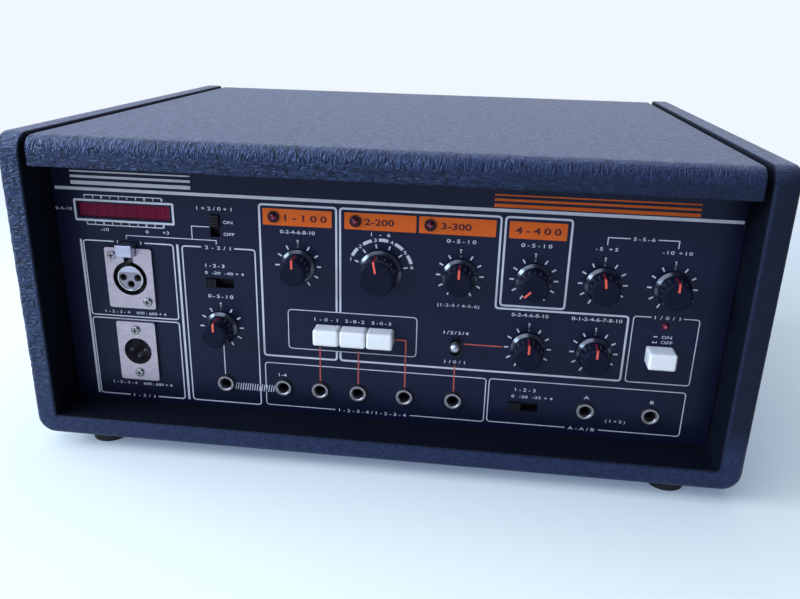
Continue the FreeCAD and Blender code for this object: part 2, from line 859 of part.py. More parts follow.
def make_knob(place, base_radius, face_radius, height):
    """The moulded knob, its inlaid pointer line and the control shaft that it is pushed on."""
    x, row, angle = place
    z = level(row)
    rear = panel_front - knob_gap
    face = rear - height
    recess_top = rear - knob_recess_depth
    bore_top = recess_top - shaft_grip
    dish_face = face + knob_dish_depth
    outside = knob_outline(base_radius, face_radius, height, 0)
    inside = [(0, dish_face), (0, bore_top), (shaft_radius, bore_top), (shaft_radius, recess_top),
              (knob_recess_radius, recess_top), (knob_recess_radius, rear)]
    body = revolve(outside + inside, x, z)
    grown = revolve(knob_outline(base_radius, face_radius, height, pointer_proud)
                    + [(0, dish_face - pointer_proud), (0, rear)], x, z)
    sunk = revolve(knob_outline(base_radius, face_radius, height, -pointer_depth)
                   + [(0, dish_face + pointer_depth), (0, rear)], x, z)
    bar = box(x - pointer_width / 2, x + pointer_width / 2,
              face - pointer_overrun, face + pointer_side_length,
              z + pointer_inner_radius, z + base_radius + pointer_overrun)
    pointer = cut(bar.common(grown), sunk)
    shaft = cylinder_y(shaft_radius, x, z, bore_top, panel_back + pot_shaft_depth)
    pieces = [cut(body, pointer), pointer, shaft]
    for piece in pieces:
        piece.rotate(vector(x, 0, z), vector(0, 1, 0), angle)
    return pieces


# ---- push buttons ----
def button_edges(direction, middle, front):
    return near(middle.y, front) or abs(direction.y) > 0.9


def make_button(x, row, reach):
    z = level(row)
    front = panel_front - reach
    rear = panel_back + button_rear_length
    cap = box(x - button_width / 2, x + button_width / 2, front, rear,
              z - button_height / 2, z + button_height / 2)
    cap = round_edges(cap, button_edge_radius, lambda d, m: button_edges(d, m, front))
    stem = box(x - button_stem_width / 2, x + button_stem_width / 2, rear, rear + button_stem_length,
               z - button_stem_height / 2, z + button_stem_height / 2)
    return fuse(cap, stem)


def push_body_front():
    return panel_back + button_rear_length + button_travel + moving_gap + bracket_thickness


def make_push_switch(x, row):
    z = level(row)
    front = push_body_front()
    body = box(x - push_body_width / 2, x + push_body_width / 2, front, front + push_body_depth,
               z - push_body_height / 2, z + push_body_height / 2)
    return cut(body, stem_way(x, row, front, front + push_body_depth - push_body_end_wall))


def stem_way(x, row, y0, y1):
    half_width = button_stem_width / 2 + moving_gap
    half_height = button_stem_height / 2 + moving_gap
    z = level(row)
    return box(x - half_width, x + half_width, y0, y1, z - half_height, z + half_height)


def make_push_bracket(centres, row):
    """A sheet bracket that holds push switches behind the panel on two legs."""
    z = level(row)
    left = centres[0] - button_width / 2 - bracket_leg_gap
    right = centres[-1] + button_width / 2 + bracket_leg_gap
    low = z - push_body_height / 2
    high = z + push_body_height / 2
    front = push_body_front()
    web = box(left, right, front - bracket_thickness, front, low, high)
    legs = [box(x0, x0 + bracket_thickness, panel_back, front, low, high)
            for x0 in (left, right - bracket_thickness)]
    ways = [stem_way(x, row, front - bracket_thickness, front) for x in centres]
    return cut(fuse(web, *legs), *ways)


def make_push_switches():
    bodies = [make_push_switch(x, button_row) for x in button_centres]
    bodies.append(make_push_switch(power_button_x, power_button_row))
    brackets = [make_push_bracket(button_centres, button_row),
                make_push_bracket((power_button_x,), power_button_row)]
    return bodies + brackets


# ---- slide switches ----
def make_slide_body(place, length, upright, _):
    x, row = place
    half_x = (slide_slot_width if upright else length) / 2 + slide_body_margin
    half_z = (length if upright else slide_slot_width) / 2 + slide_body_margin
    body = box(x - half_x, x + half_x, panel_back, panel_back + slide_body_depth,
               level(row) - half_z, level(row) + half_z)
    return cut(body, slide_slot(place, length, upright, panel_back, panel_back + slide_pocket_depth))


def slide_travel(length):
    return length - slide_cap_length - 2 * moving_gap


def make_slider(place, length, upright, end):
    """A ribbed cap at one end of its slot: end is -1 for left or low, 1 for right or high."""
    x, row = place
    shift = end * slide_travel(length) / 2
    half_long = slide_cap_length / 2
    half_short = slide_slot_width / 2 - moving_gap
    cx = x if upright else x + shift
    cz = level(row) + shift if upright else level(row)
    half_x, half_z = (half_short, half_long) if upright else (half_long, half_short)
    front = panel_front - slide_cap_reach
    cap = box(cx - half_x, cx + half_x, front, panel_back + slide_pocket_depth - moving_gap,
              cz - half_z, cz + half_z)
    grooves = []
    for step in (-1, 0, 1):
        offset = step * slide_groove_pitch
        gx, gz = (cx, cz + offset) if upright else (cx + offset, cz)
        wide_x, wide_z = (half_x, slide_groove_width / 2) if upright else (slide_groove_width / 2, half_z)
        grooves.append(box(gx - wide_x, gx + wide_x, front, front + slide_groove_width,
                           gz - wide_z, gz + wide_z))
    return cut(cap, *grooves)


# ---- toggle switch ----
def toggle_pivot():
    return vector(toggle_x, panel_back + toggle_pivot_depth, level(toggle_row))


def make_toggle_switch():
    z = level(toggle_row)
    body = box(toggle_x - toggle_body_width / 2, toggle_x + toggle_body_width / 2,
               panel_back, panel_back + toggle_body_depth,
               z - toggle_body_height / 2, z + toggle_body_height / 2)
    socket_radius = toggle_ball_radius + running_clearance
    pocket = oval_block(toggle_x, z, 2 * socket_radius, toggle_slot_height - 2 * toggle_wall,
                        panel_back, panel_back + toggle_pivot_depth + socket_radius)
    sleeve_front = panel_front - toggle_lip
    sleeve = oval_block(toggle_x, z, toggle_slot_width, toggle_slot_height, sleeve_front, panel_back)
    mouth = oval_block(toggle_x, z, toggle_slot_width - 2 * toggle_wall,
                       toggle_slot_height - 2 * toggle_wall, sleeve_front, panel_back)
    pivot = toggle_pivot()
    pin_reach = toggle_pin_reach + moving_gap
    pin_bearing = cylinder_x(toggle_pin_radius + running_clearance, pivot.y, pivot.z,
                             pivot.x - pin_reach, pivot.x + pin_reach)
    return [cut(body, pocket, pin_bearing), cut(sleeve, mouth)]


def make_toggle_lever():
    pivot = toggle_pivot()
    pin = cylinder_x(toggle_pin_radius, pivot.y, pivot.z,
                     pivot.x - toggle_pin_reach, pivot.x + toggle_pin_reach)
    tip = panel_front - toggle_lever_reach
    ball = Part.makeSphere(toggle_ball_radius, pivot)
    length = pivot.y - tip
    rod = Part.makeCone(toggle_root_radius, toggle_tip_radius, length, pivot, vector(0, -1, 0))
    cap = Part.makeSphere(toggle_tip_radius, vector(pivot.x, tip, pivot.z))
    lever = fuse(ball, pin, rod, cap)
    lever.rotate(pivot, vector(1, 0, 0), -toggle_tilt)
    return lever


# ---- lamps and level meter ----
def make_lamp_bezels():
    bezels = []
    for x in lamp_places:
        z = level(lamp_row)
        ring = cylinder_y(lamp_bezel_radius, x, z, panel_front - lamp_bezel_thickness, panel_front)
        tube = cylinder_y(lamp_tube_radius, x, z, panel_front, panel_front + lamp_tube_length)
        bore = cylinder_y(lamp_lens_radius, x, z, panel_front - lamp_bezel_thickness,
                          panel_front + lamp_tube_length)
        bezels.append(cut(fuse(ring, tube), bore))
    return bezels


def domed_rod(radius, dome_height, x, z, y_front, y_back):
    """A rod along Y whose front end is a shallow dome that starts at y_front."""
    sphere_radius = (radius ** 2 + dome_height ** 2) / (2 * dome_height)
    rod = cylinder_y(radius, x, z, y_front, y_back)
    ball = Part.makeSphere(sphere_radius, vector(x, y_front - dome_height + sphere_radius, z))
    cap = ball.common(cylinder_y(radius, x, z, y_front - dome_height, y_front))
    return fuse(rod, cap)


def make_lamp_lenses():
    lenses = [domed_rod(lamp_lens_radius, lamp_dome_height, x, level(lamp_row),
                        panel_front - lamp_bezel_thickness, panel_front + lamp_tube_length)
              for x in lamp_places]
    x, row = power_lamp_place
    lenses.append(domed_rod(power_lamp_radius, lamp_dome_height, x, level(row),
                            panel_front, panel_front + lamp_tube_length))
    return lenses


def make_meter_lens():
    lens = meter_opening(panel_front + meter_lens_setback, panel_back, 0)
    flange = meter_opening(panel_back, panel_back + meter_flange_thickness, meter_flange_margin)
    return fuse(lens, flange)


# ---- three-pin connectors ----
def make_input_shell():
    x, row = input_connector_place
    z = level(row)
    front = panel_front - connector_plate_thickness
    barrel_back = front + input_shell_depth
    plate = rounded_plate(x, z, input_plate_width, input_plate_height, plate_corner_radius,
                          front, panel_front)
    barrel = cylinder_y(input_ring_radius + connector_wall, x, z, front, barrel_back)
    ring = cylinder_y(input_ring_radius, x, z, front, barrel_back)
    neck = box(x - neck_width / 2, x + neck_width / 2, front, barrel_back, z, z + latch_rise)
    holes = [cylinder_y(screw_shank_radius, sx, sz, front, panel_front)
             for sx, sz in connector_screw_places()]
    return cut(fuse(plate, barrel), ring, neck, latch_block(front, panel_front, moving_gap), *holes)


def make_input_insert():
    x, row = input_connector_place
    z = level(row)
    front = panel_front - connector_plate_thickness
    back = front + input_shell_depth
    insert = fuse(cylinder_y(input_insert_radius, x, z, front, back),
                  cylinder_y(input_ring_radius, x, z, back - insert_base_thickness, back))
    holes = [cylinder_y(contact_hole_radius, x + dx, z + dz, front, front + contact_hole_depth)
             for dx, dz in contact_places]
    return cut(insert, *holes)


def latch_block(y0, y1, margin):
    x, row = input_connector_place
    z = level(row) + latch_rise
    half_width = latch_width / 2 + margin
    half_height = latch_height / 2 + margin
    return box(x - half_width, x + half_width, y0, y1, z - half_height, z + half_height)


def make_latch():
    front = panel_front - connector_plate_thickness - latch_reach
    tab = latch_block(front, front + latch_reach + latch_depth, 0)
    return round_edges(tab, latch_edge_radius, lambda d, m: near(m.y, front))


def make_output_shell():
    x, row = output_connector_place
    z = level(row)
    front = panel_front - connector_plate_thickness
    back = front + output_recess_depth + insert_base_thickness
    plate = rounded_plate(x, z, output_plate_width, output_plate_height, plate_corner_radius,
                          front, panel_front)
    barrel = cylinder_y(output_recess_radius + connector_wall, x, z, front, back)
    recess = cylinder_y(output_recess_radius, x, z, front, back)
    holes = [cylinder_y(screw_shank_radius, sx, sz, front, panel_front)
             for sx, sz in connector_screw_places()]
    return cut(fuse(plate, barrel), recess, *holes)


def make_output_insert():
    """The insulating base at the bottom of the recess and the three contact pins."""
    x, row = output_connector_place
    z = level(row)
    front = panel_front - connector_plate_thickness
    base_front = front + output_recess_depth
    base_back = base_front + insert_base_thickness
    pins = [domed_rod(pin_radius, pin_radius / 2, x + dx, z + dz, front + pin_setback, base_back)
            for dx, dz in contact_places]
    holes = [cylinder_y(pin_radius, x + dx, z + dz, base_front, base_back) for dx, dz in contact_places]
    base = cut(cylinder_y(output_recess_radius, x, z, base_front, base_back), *holes)
    return [base] + pins


# ---- jacks ----
def make_jack_bushings():
    bushings = []
    for x in jack_places:
        z = level(jack_row)
        front = panel_front - jack_collar_thickness
        back = panel_back + jack_body_length
        collar = cylinder_y(jack_collar_radius, x, z, front, panel_front)
        rim = [edge for edge in collar.Edges
               if edge.Curve.TypeId == "Part::GeomCircle" and near(edge.CenterOfMass.y, front)]
        bushing = fuse(collar.makeFillet(jack_collar_rounding, rim),
                       cylinder_y(jack_thread_radius, x, z, panel_front, panel_back),
                       cylinder_y(jack_body_radius, x, z, panel_back, back))
        bushings.append(cut(bushing, cylinder_y(jack_bore_radius, x, z, front, back)))
    return bushings


def make_jack_contacts():
    pieces = []
    for x in jack_places:
        z = level(jack_row)
        block_front = panel_back + jack_body_length
        block_back = block_front + jack_block_depth
        block_low = z + jack_bore_radius + jack_block_rise
        pieces.append(box(x - jack_block_width / 2, x + jack_block_width / 2, block_front, block_back,
                          block_low, block_low + jack_block_height))
        leaf_back = block_back + jack_leaf_length
        half = jack_leaf_width / 2
        for rise in jack_leaf_rises:
            leaf_z = block_low + rise
            strip = box(x - half, x + half, block_back, leaf_back, leaf_z, leaf_z + jack_leaf_thickness)
            tip = box(x - half, x + half, leaf_back - jack_leaf_thickness, leaf_back,
                      leaf_z - jack_leaf_hook, leaf_z + jack_leaf_thickness)
            pieces.append(fuse(strip, tip))
    return pieces


# ---- tape deck ----
def make_deck():
    plate = box(-panel_half, panel_half, deck_front, chassis_back, deck_bottom, deck_top)
    riser = box(-shelf_half, shelf_half, deck_front, deck_front + deck_thickness,
                deck_bottom, shelf_top)
    shelf = box(-shelf_half, shelf_half, panel_back, deck_front + deck_thickness,
                shelf_top - deck_thickness, shelf_top)
    deck = fuse(plate, riser, shelf)
    return cut(deck, cylinder_z(bearing_radius, capstan_x, capstan_y, deck_bottom, deck_top))


def make_chamber_walls():
    """Four rails on the deck, with a slot for the tape at each side, and the cover's posts."""
    exit_y = tape_entry_y + 2 * tape_fold_count * tape_fold_pitch
    walls = [box(chamber_left, chamber_right, y0, y0 + chamber_wall, deck_top, chamber_top)
             for y0 in (chamber_front, chamber_back - chamber_wall)]
    for x0, slot_y in ((chamber_left, exit_y), (chamber_right - chamber_wall, tape_entry_y)):
        x1 = x0 + chamber_wall
        walls.append(box(x0, x1, chamber_front + chamber_wall, slot_y - chamber_slot / 2,
                         deck_top, chamber_top))
        walls.append(box(x0, x1, slot_y + chamber_slot / 2, chamber_back - chamber_wall,
                         deck_top, chamber_top))
    posts = [cut(cylinder_z(chamber_post_radius, x, y, deck_top, chamber_top), cover_screw_hole(x, y))
             for x, y in chamber_post_places()]
    return walls + posts


def cover_screw_hole(x, y):
    top = chamber_top + chamber_cover_thickness
    return cylinder_z(screw_shank_radius, x, y, top - cover_screw_length, top)


def make_chamber_cover():
    cover = box(chamber_left, chamber_right, chamber_front, chamber_back,
                chamber_top, chamber_top + chamber_cover_thickness)
    return cut(cover, *[cover_screw_hole(x, y) for x, y in chamber_post_places()])


def tape_corners():
    """Corners of the tape's closed path, seen from above, with each corner's radius."""
    last_y = tape_entry_y + 2 * tape_fold_count * tape_fold_pitch
    outer = guide_radius + moving_gap
    fold = tape_fold_pitch * tape_fold_roundness
    corners = [(tape_left, tape_line_y, outer), (tape_right, tape_line_y, outer),
               (tape_right, tape_entry_y, outer)]
    for index in range(tape_fold_count):
        y = tape_entry_y + 2 * index * tape_fold_pitch
        corners += [(tape_fold_left, y, fold), (tape_fold_left, y + tape_fold_pitch, fold),
                    (tape_fold_right, y + tape_fold_pitch, fold),
                    (tape_fold_right, y + 2 * tape_fold_pitch, fold)]
    return corners + [(tape_left, last_y, outer)]


def rounded_loop(corners, offset):
    """A closed wire of runs and tangent arcs; offset moves it sideways, to the right of its way."""
    edges = []
    ends = []
    count = len(corners)
    for index in range(count):
        x0, y0, _ = corners[index - 1]
        x1, y1, radius = corners[index]
        x2, y2, _ = corners[(index + 1) % count]
        way_in = vector(x1 - x0, y1 - y0, 0).normalize()
        way_out = vector(x2 - x1, y2 - y1, 0).normalize()
        turn = way_in.cross(way_out).z
        centre = vector(x1, y1, 0) - way_in * radius + way_out * radius
        arc_radius = radius + (offset if turn > 0 else -offset)
        spoke_in = (vector(x1, y1, 0) - way_in * radius - centre).normalize()
        spoke_out = (vector(x1, y1, 0) + way_out * radius - centre).normalize()
        middle = (spoke_in + spoke_out).normalize()
        start, between, end = [centre + spoke * arc_radius for spoke in (spoke_in, middle, spoke_out)]
        edges.append(Part.Arc(start, between, end).toShape())
        ends.append((start, end))
    for index in range(count):
        start = ends[index - 1][1]
        end = ends[index][0]
        if start.distanceToPoint(end) > match_tolerance:
            edges.append(Part.makeLine(start, end))
    return Part.Wire(Part.__sortEdges__(edges))


def make_tape():
    outside = rounded_loop(tape_corners(), tape_thickness / 2)
    inside = rounded_loop(tape_corners(), -tape_thickness / 2)
    ribbon = Part.Face(outside).cut(Part.Face(inside))
    tape = ribbon.Faces[0].extrude(vector(0, 0, tape_width))
    tape.translate(vector(0, 0, tape_bottom))
    return tape


def guide_places():
    corners = tape_corners()
    inset = guide_radius + moving_gap
    left, right, entry, leave = corners[0], corners[1], corners[2], corners[-1]
    return [(left[0] + inset, left[1] + inset), (right[0] - inset, right[1] + inset),
            (entry[0] - inset, entry[1] - inset), (leave[0] + inset, leave[1] - inset)]


def make_guides():
    guides = []
    for x, y in guide_places():
        top = tape_bottom + tape_width + moving_gap
        low = tape_bottom - moving_gap
        post_radius = guide_radius - tape_thickness
        guides.append(fuse(cylinder_z(post_radius, x, y, deck_top, top + guide_rim_thickness),
                           cylinder_z(guide_radius + guide_rim, x, y, low - guide_rim_thickness, low),
                           cylinder_z(guide_radius + guide_rim, x, y, top, top + guide_rim_thickness)))
    return guides


def make_heads():
    """Five heads behind the tape with rounded noses, on one plate."""
    face_y = tape_line_y + tape_thickness / 2 + moving_gap
    plate_top = deck_top + head_plate_thickness
    plate = box(min(head_places) - head_width / 2 - head_plate_margin,
                max(head_places) + head_width / 2 + head_plate_margin,
                face_y + head_plate_setback, face_y + head_depth + head_plate_overhang,
                deck_top, plate_top)
    head_top = tape_bottom + tape_width + head_top_margin
    pieces = [plate]
    for x in head_places:
        case = box(x - head_width / 2, x + head_width / 2, face_y, face_y + head_depth, plate_top, head_top)
        nose = cylinder_z(head_nose_radius, x, face_y + head_nose_radius, plate_top, head_top)
        rear = box(x - head_width / 2, x + head_width / 2, face_y + head_nose_radius / 2,
                   face_y + head_depth, plate_top, head_top)
        pieces.append(case.common(fuse(nose, rear)))
    return pieces


# ---- capstan drive ----
def make_bearing():
    sleeve = fuse(cylinder_z(bearing_radius, capstan_x, capstan_y, bearing_bottom, deck_top),
                  cylinder_z(bearing_flange_radius, capstan_x, capstan_y, deck_top,
                             deck_top + bearing_flange_thickness))
    return cut(sleeve, cylinder_z(capstan_radius + running_clearance, capstan_x, capstan_y,
                                  bearing_bottom, deck_top + bearing_flange_thickness))


def make_capstan():
    collar_low = deck_top + bearing_flange_thickness + moving_gap
    capstan_top = deck_top + capstan_top_rise
    return fuse(cylinder_z(capstan_radius, capstan_x, capstan_y, flywheel_bottom, capstan_top),
                cylinder_z(collar_radius, capstan_x, capstan_y, collar_low, collar_low + collar_thickness),
                cylinder_z(flywheel_radius, capstan_x, capstan_y, flywheel_bottom, flywheel_top))


def make_motor():
    body = cylinder_z(motor_radius, motor_x, motor_y, motor_bottom, deck_bottom)
    return cut(body, cylinder_z(motor_shaft_radius + running_clearance, motor_x, motor_y,
                                motor_bottom, motor_bottom + motor_shaft_reach + moving_gap))


def make_motor_pulley():
    """The motor's shaft with the pulley at its lower end, level with the flywheel."""
    return fuse(cylinder_z(motor_shaft_radius, motor_x, motor_y, flywheel_bottom,
                           motor_bottom + motor_shaft_reach),
                cylinder_z(pulley_radius, motor_x, motor_y, flywheel_bottom, flywheel_top))


def belt_face(flywheel_side, pulley_side):
    """The area inside an open belt run round the two wheels at the given radii."""
    dx = motor_x - capstan_x
    dy = motor_y - capstan_y
    distance = math.hypot(dx, dy)
    heading = math.atan2(dy, dx)
    lean = math.acos((flywheel_side - pulley_side) / distance)
    arcs = []
    for x, y, radius, away in ((capstan_x, capstan_y, flywheel_side, math.pi),
                               (motor_x, motor_y, pulley_side, 0)):
        angles = (heading + lean, heading + away, heading - lean)
        arcs.append([vector(x + radius * math.cos(a), y + radius * math.sin(a), 0) for a in angles])
    big, small = arcs
    edges = [Part.Arc(*big).toShape(), Part.makeLine(big[2], small[2]),
             Part.Arc(*small[::-1]).toShape(), Part.makeLine(small[0], big[0])]
    return Part.Face(Part.Wire(edges))


def make_belt():
    inner_big = flywheel_radius + moving_gap
    inner_small = pulley_radius + moving_gap
    ring = belt_face(inner_big + belt_thickness, inner_small + belt_thickness).cut(
        belt_face(inner_big, inner_small))
    belt = ring.Faces[0].extrude(vector(0, 0, belt_width))
    belt.translate(vector(0, 0, (flywheel_bottom + flywheel_top - belt_width) / 2))
    return belt


# ---- pinch roller ----
def arm_bottom():
    return deck_top + roller_rise + roller_height + moving_gap


def make_pinch_post():
    return cylinder_z(pinch_post_radius, pinch_pivot_x, pinch_pivot_y, deck_top,
                      arm_bottom() + pinch_arm_thickness)


def make_pinch_arm():
    """The arm with its hub on the pivot post, and the roller's axle."""
    low = arm_bottom()
    high = low + pinch_arm_thickness
    dx = roller_x - pinch_pivot_x
    dy = roller_y - pinch_pivot_y
    length = math.hypot(dx, dy)
    bar = box(0, length, -pinch_arm_width / 2, pinch_arm_width / 2, low, high)
    bar.rotate(vector(0, 0, 0), vector(0, 0, 1), math.degrees(math.atan2(dy, dx)))
    bar.translate(vector(pinch_pivot_x, pinch_pivot_y, 0))
    hub = cylinder_z(pinch_hub_radius, pinch_pivot_x, pinch_pivot_y, deck_top + moving_gap, high)
    end = cylinder_z(pinch_arm_width / 2, roller_x, roller_y, low, high)
    bore = cylinder_z(pinch_post_radius + running_clearance, pinch_pivot_x, pinch_pivot_y, deck_top, high)
    axle = cylinder_z(roller_axle_radius, roller_x, roller_y, deck_top + roller_rise - roller_axle_tail, high)
    return [cut(fuse(bar, hub, end), bore, axle), axle]


def make_pinch_roller():
    low = deck_top + roller_rise
    tyre = cylinder_z(roller_radius, roller_x, roller_y, low, low + roller_height)
    return cut(tyre, cylinder_z(roller_axle_radius + running_clearance, roller_x, roller_y,
                                low, low + roller_height))


# ---- electronics ----
def make_circuit_boards():
    """The main board on its standoffs with its larger components, and the meter's lamp board."""
    board_low = chassis_floor + board_standoff
    board_top = board_low + board_thickness
    pieces = [box(board_left, board_right, board_front, board_back, board_low, board_top)]
    for x in (board_left + board_margin, (board_left + board_right) / 2, board_right - board_margin):
        for y in (board_front + board_margin, board_back - board_margin):
            pieces.append(cylinder_z(standoff_radius, x, y, chassis_floor, board_low))
    pitch = (board_right - board_left - 2 * board_margin) / component_columns
    for index in range(component_columns):
        x = board_left + board_margin + pitch * (index + 0.5)
        pieces.append(cylinder_z(capacitor_radius, x, board_back - capacitor_setback,
                                 board_top, board_top + capacitor_height))
        for row in chip_rows:
            pieces.append(box(x - chip_length / 2, x + chip_length / 2,
                              board_front + row, board_front + row + chip_width,
                              board_top, board_top + chip_height))
    return pieces + make_meter_board()


def make_meter_board():
    left, right, low, high = meter_window
    flange_back = panel_back + meter_flange_thickness
    board_y = flange_back + meter_board_gap
    board = box(left, right, board_y, board_y + board_thickness, level(low), level(high))
    pieces = [board]
    pitch = (right - left) / meter_lamp_count
    centre = level((low + high) / 2)
    for index in range(meter_lamp_count):
        x = left + pitch * (index + 0.5)
        pieces.append(box(x - meter_lamp_width / 2, x + meter_lamp_width / 2, flange_back, board_y,
                          centre - meter_lamp_height / 2, centre + meter_lamp_height / 2))
    return pieces


def make_transformer():
    """A laminated core with its winding, on a flat foot plate."""
    x, y = transformer_x, transformer_y
    foot_top = chassis_floor + transformer_foot_thickness
    core_top = foot_top + core_height
    foot = box(x - transformer_foot_width / 2, x + transformer_foot_width / 2,
               y - core_depth / 2, y + core_depth / 2, chassis_floor, foot_top)
    core_front = y - core_depth / 2
    core_back = y + core_depth / 2
    core = box(x - core_width / 2, x + core_width / 2, core_front, core_back, foot_top, core_top)
    windows = [box(x0, x1, core_front, core_back, foot_top + core_yoke, core_top - core_yoke)
               for x0, x1 in ((x - core_width / 2 + core_yoke, x - core_leg / 2),
                              (x + core_leg / 2, x + core_width / 2 - core_yoke))]
    core = cut(core, *windows)
    winding_half = core_width / 2 - core_yoke
    winding = box(x - winding_half, x + winding_half, y - winding_depth / 2, y + winding_depth / 2,
                  foot_top + core_yoke, core_top - core_yoke)
    return [foot, core, cut(winding, core)]


def make_reverb_tank():
    """A shallow open steel tray with a transducer block at each end and springs between them."""
    low = chassis_floor
    high = low + tank_height
    tray = cut(box(tank_left, tank_right, tank_front, tank_back, low, high),
               box(tank_left + tank_wall, tank_right - tank_wall, tank_front + tank_wall,
                   tank_back - tank_wall, low + tank_wall, high))
    middle = (tank_front + tank_back) / 2
    block_low = low + tank_wall
    left = tank_left + tank_wall
    right = tank_right - tank_wall
    blocks = [box(x0, x0 + tank_block_length, middle - tank_block_width / 2, middle + tank_block_width / 2,
                  block_low, block_low + tank_block_height)
              for x0 in (left, right - tank_block_length)]
    pitch = tank_block_width / tank_spring_count
    spring_z = block_low + tank_block_height / 2
    springs = [cylinder_x(tank_spring_radius, middle + (index - (tank_spring_count - 1) / 2) * pitch,
                          spring_z, left + tank_block_length, right - tank_block_length)
               for index in range(tank_spring_count)]
    return [tray] + blocks + springs


# ---- cord gland ----
def make_gland():
    z = level(gland_row)
    gland = fuse(cylinder_y(gland_body_radius, gland_x, z, back_inner, back_outer),
                 cylinder_y(gland_flange_radius, gland_x, z, back_outer, back_outer + gland_flange_thickness))
    return cut(gland, cylinder_y(gland_bore_radius, gland_x, z, back_inner,
                                 back_outer + gland_flange_thickness))


# ---- write every sub-part ----
def main():
    os.makedirs("parts", exist_ok=True)
    save("left_cheek", make_cheek(-1))
    save("right_cheek", make_cheek(1))
    save("bottom_board", make_bottom_board())
    save("back_board", make_back_board())
    save("feet", *make_feet())
    save("lid", make_lid())
    save("lid_hinge_leaves", *make_lid_hinge_leaves())
    save("cabinet_hinge_leaves", *make_cabinet_hinge_leaves())
    save("pan_head_screws", *make_screws())
    save("front_panel", make_front_panel())
    save("chassis_tray", make_chassis())
    save("potentiometers", *make_pots())
    save("rotary_switch", *make_rotary_switch())
    for name, place in knobs.items():
        save(name, *make_knob(place, knob_base_radius, knob_face_radius, knob_height))
    save("mode_knob", *make_knob(mode_knob_place, mode_knob_base_radius, mode_knob_face_radius,
                                 mode_knob_height))
    for name, x in zip(("left_effect_button", "middle_effect_button", "right_effect_button"), button_centres):
        save(name, make_button(x, button_row, button_reach))
    save("power_button", make_button(power_button_x, power_button_row, power_button_reach))
    save("push_switches", *make_push_switches())
    save("slide_switches", *[make_slide_body(*layout) for layout in slide_switch_layout.values()])
    for name, layout in slide_switch_layout.items():
        save(name, make_slider(*layout))
    save("toggle_switch", *make_toggle_switch())
    save("toggle_lever", make_toggle_lever())
    save("lamp_bezels", *make_lamp_bezels())
    save("lamp_lenses", *make_lamp_lenses())
    save("meter_lens", make_meter_lens())
    save("input_connector_shell", make_input_shell())
    save("input_connector_insert", make_input_insert())
    save("input_latch", make_latch())
    save("output_connector_shell", make_output_shell())
    save("output_connector_insert", *make_output_insert())
    save("jack_bushings", *make_jack_bushings())
    save("jack_contacts", *make_jack_contacts())
    save("deck_plate", make_deck())
    save("tape_chamber_walls", *make_chamber_walls())
    save("tape_chamber_cover", make_chamber_cover())
    save("tape_loop", make_tape())
    save("tape_guides", *make_guides(), make_pinch_post())
    save("tape_heads", *make_heads())
    save("capstan_bearing", make_bearing())
    save("capstan", make_capstan())
    save("drive_motor", make_motor())
    save("motor_pulley", make_motor_pulley())
    save("drive_belt", make_belt())
    save("pinch_arm", *make_pinch_arm())
    save("pinch_roller", make_pinch_roller())
    save("circuit_boards", *make_circuit_boards())
    save("power_transformer", *make_transformer())
    save("reverb_tank", *make_reverb_tank())
    save("cord_gland", make_gland())


main()
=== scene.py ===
import bpy
import bmesh
import json
import math
from mathutils import Matrix, Vector, noise


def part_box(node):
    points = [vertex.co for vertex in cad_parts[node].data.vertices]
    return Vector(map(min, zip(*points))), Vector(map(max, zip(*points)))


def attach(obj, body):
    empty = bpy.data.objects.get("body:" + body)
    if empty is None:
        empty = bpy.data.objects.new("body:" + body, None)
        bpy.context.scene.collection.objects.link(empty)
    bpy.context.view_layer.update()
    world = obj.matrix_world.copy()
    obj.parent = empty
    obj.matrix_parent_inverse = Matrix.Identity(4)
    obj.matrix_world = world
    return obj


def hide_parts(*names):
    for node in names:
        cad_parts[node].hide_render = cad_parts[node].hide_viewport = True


# A tape echo unit: a cabinet covered in black vinyl, a recessed panel of knobs, switches and
# sockets, and a tape deck under the lid.  The frame is in metres; sizes here are in
# millimetres and mm turns them into metres.

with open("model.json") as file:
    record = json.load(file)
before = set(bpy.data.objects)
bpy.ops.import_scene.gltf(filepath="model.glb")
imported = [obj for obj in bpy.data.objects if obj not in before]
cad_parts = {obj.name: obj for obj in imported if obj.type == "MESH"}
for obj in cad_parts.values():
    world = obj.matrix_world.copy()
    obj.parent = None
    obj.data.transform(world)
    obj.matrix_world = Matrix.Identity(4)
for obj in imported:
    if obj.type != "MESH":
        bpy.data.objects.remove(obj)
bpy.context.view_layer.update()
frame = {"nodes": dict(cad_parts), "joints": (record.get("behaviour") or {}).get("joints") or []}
nodes = frame["nodes"]
mm = 0.001

# ---- places that the frame gives ----
face_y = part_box("front_panel")[0].y
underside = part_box("bottom_board")[0].z
turning_at = {joint["child"]: Vector(joint["pos_m"]) for joint in frame["joints"] if "pos_m" in joint}


def on_panel(x, height, proud=0.0):
    """A point on the panel, in mm: right of its middle, above the underside and proud of its face."""
    return Vector((x * mm, face_y - proud * mm, underside + height * mm))


def place_of(node):
    """A node's middle as millimetres on the panel."""
    low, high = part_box(node)
    return (low.x + high.x) / 2 / mm, ((low.z + high.z) / 2 - underside) / mm


# ---- shader building ----
def feed(node, inputs):
    """Sets inputs of a shader node; one that gets a socket is linked."""
    for key, value in inputs.items():
        if isinstance(value, bpy.types.NodeSocket):
            node.id_data.links.new(value, node.inputs[key])
        elif node.inputs[key].type == "RGBA":
            node.inputs[key].default_value = (*value, 1.0)
        else:
            node.inputs[key].default_value = value


def add(tree, kind, inputs=None, output=0, **settings):
    """Adds a shader node and gives one of its outputs."""
    made = tree.nodes.new("ShaderNode" + kind)
    for key, value in settings.items():
        setattr(made, key, value)
    feed(made, inputs or {})
    return made.outputs[output]


def math_node(tree, operation, a, b=0.0):
    return add(tree, "Math", {0: a, 1: b}, operation=operation)


def times(tree, a, b):
    return math_node(tree, "MULTIPLY", a, b)


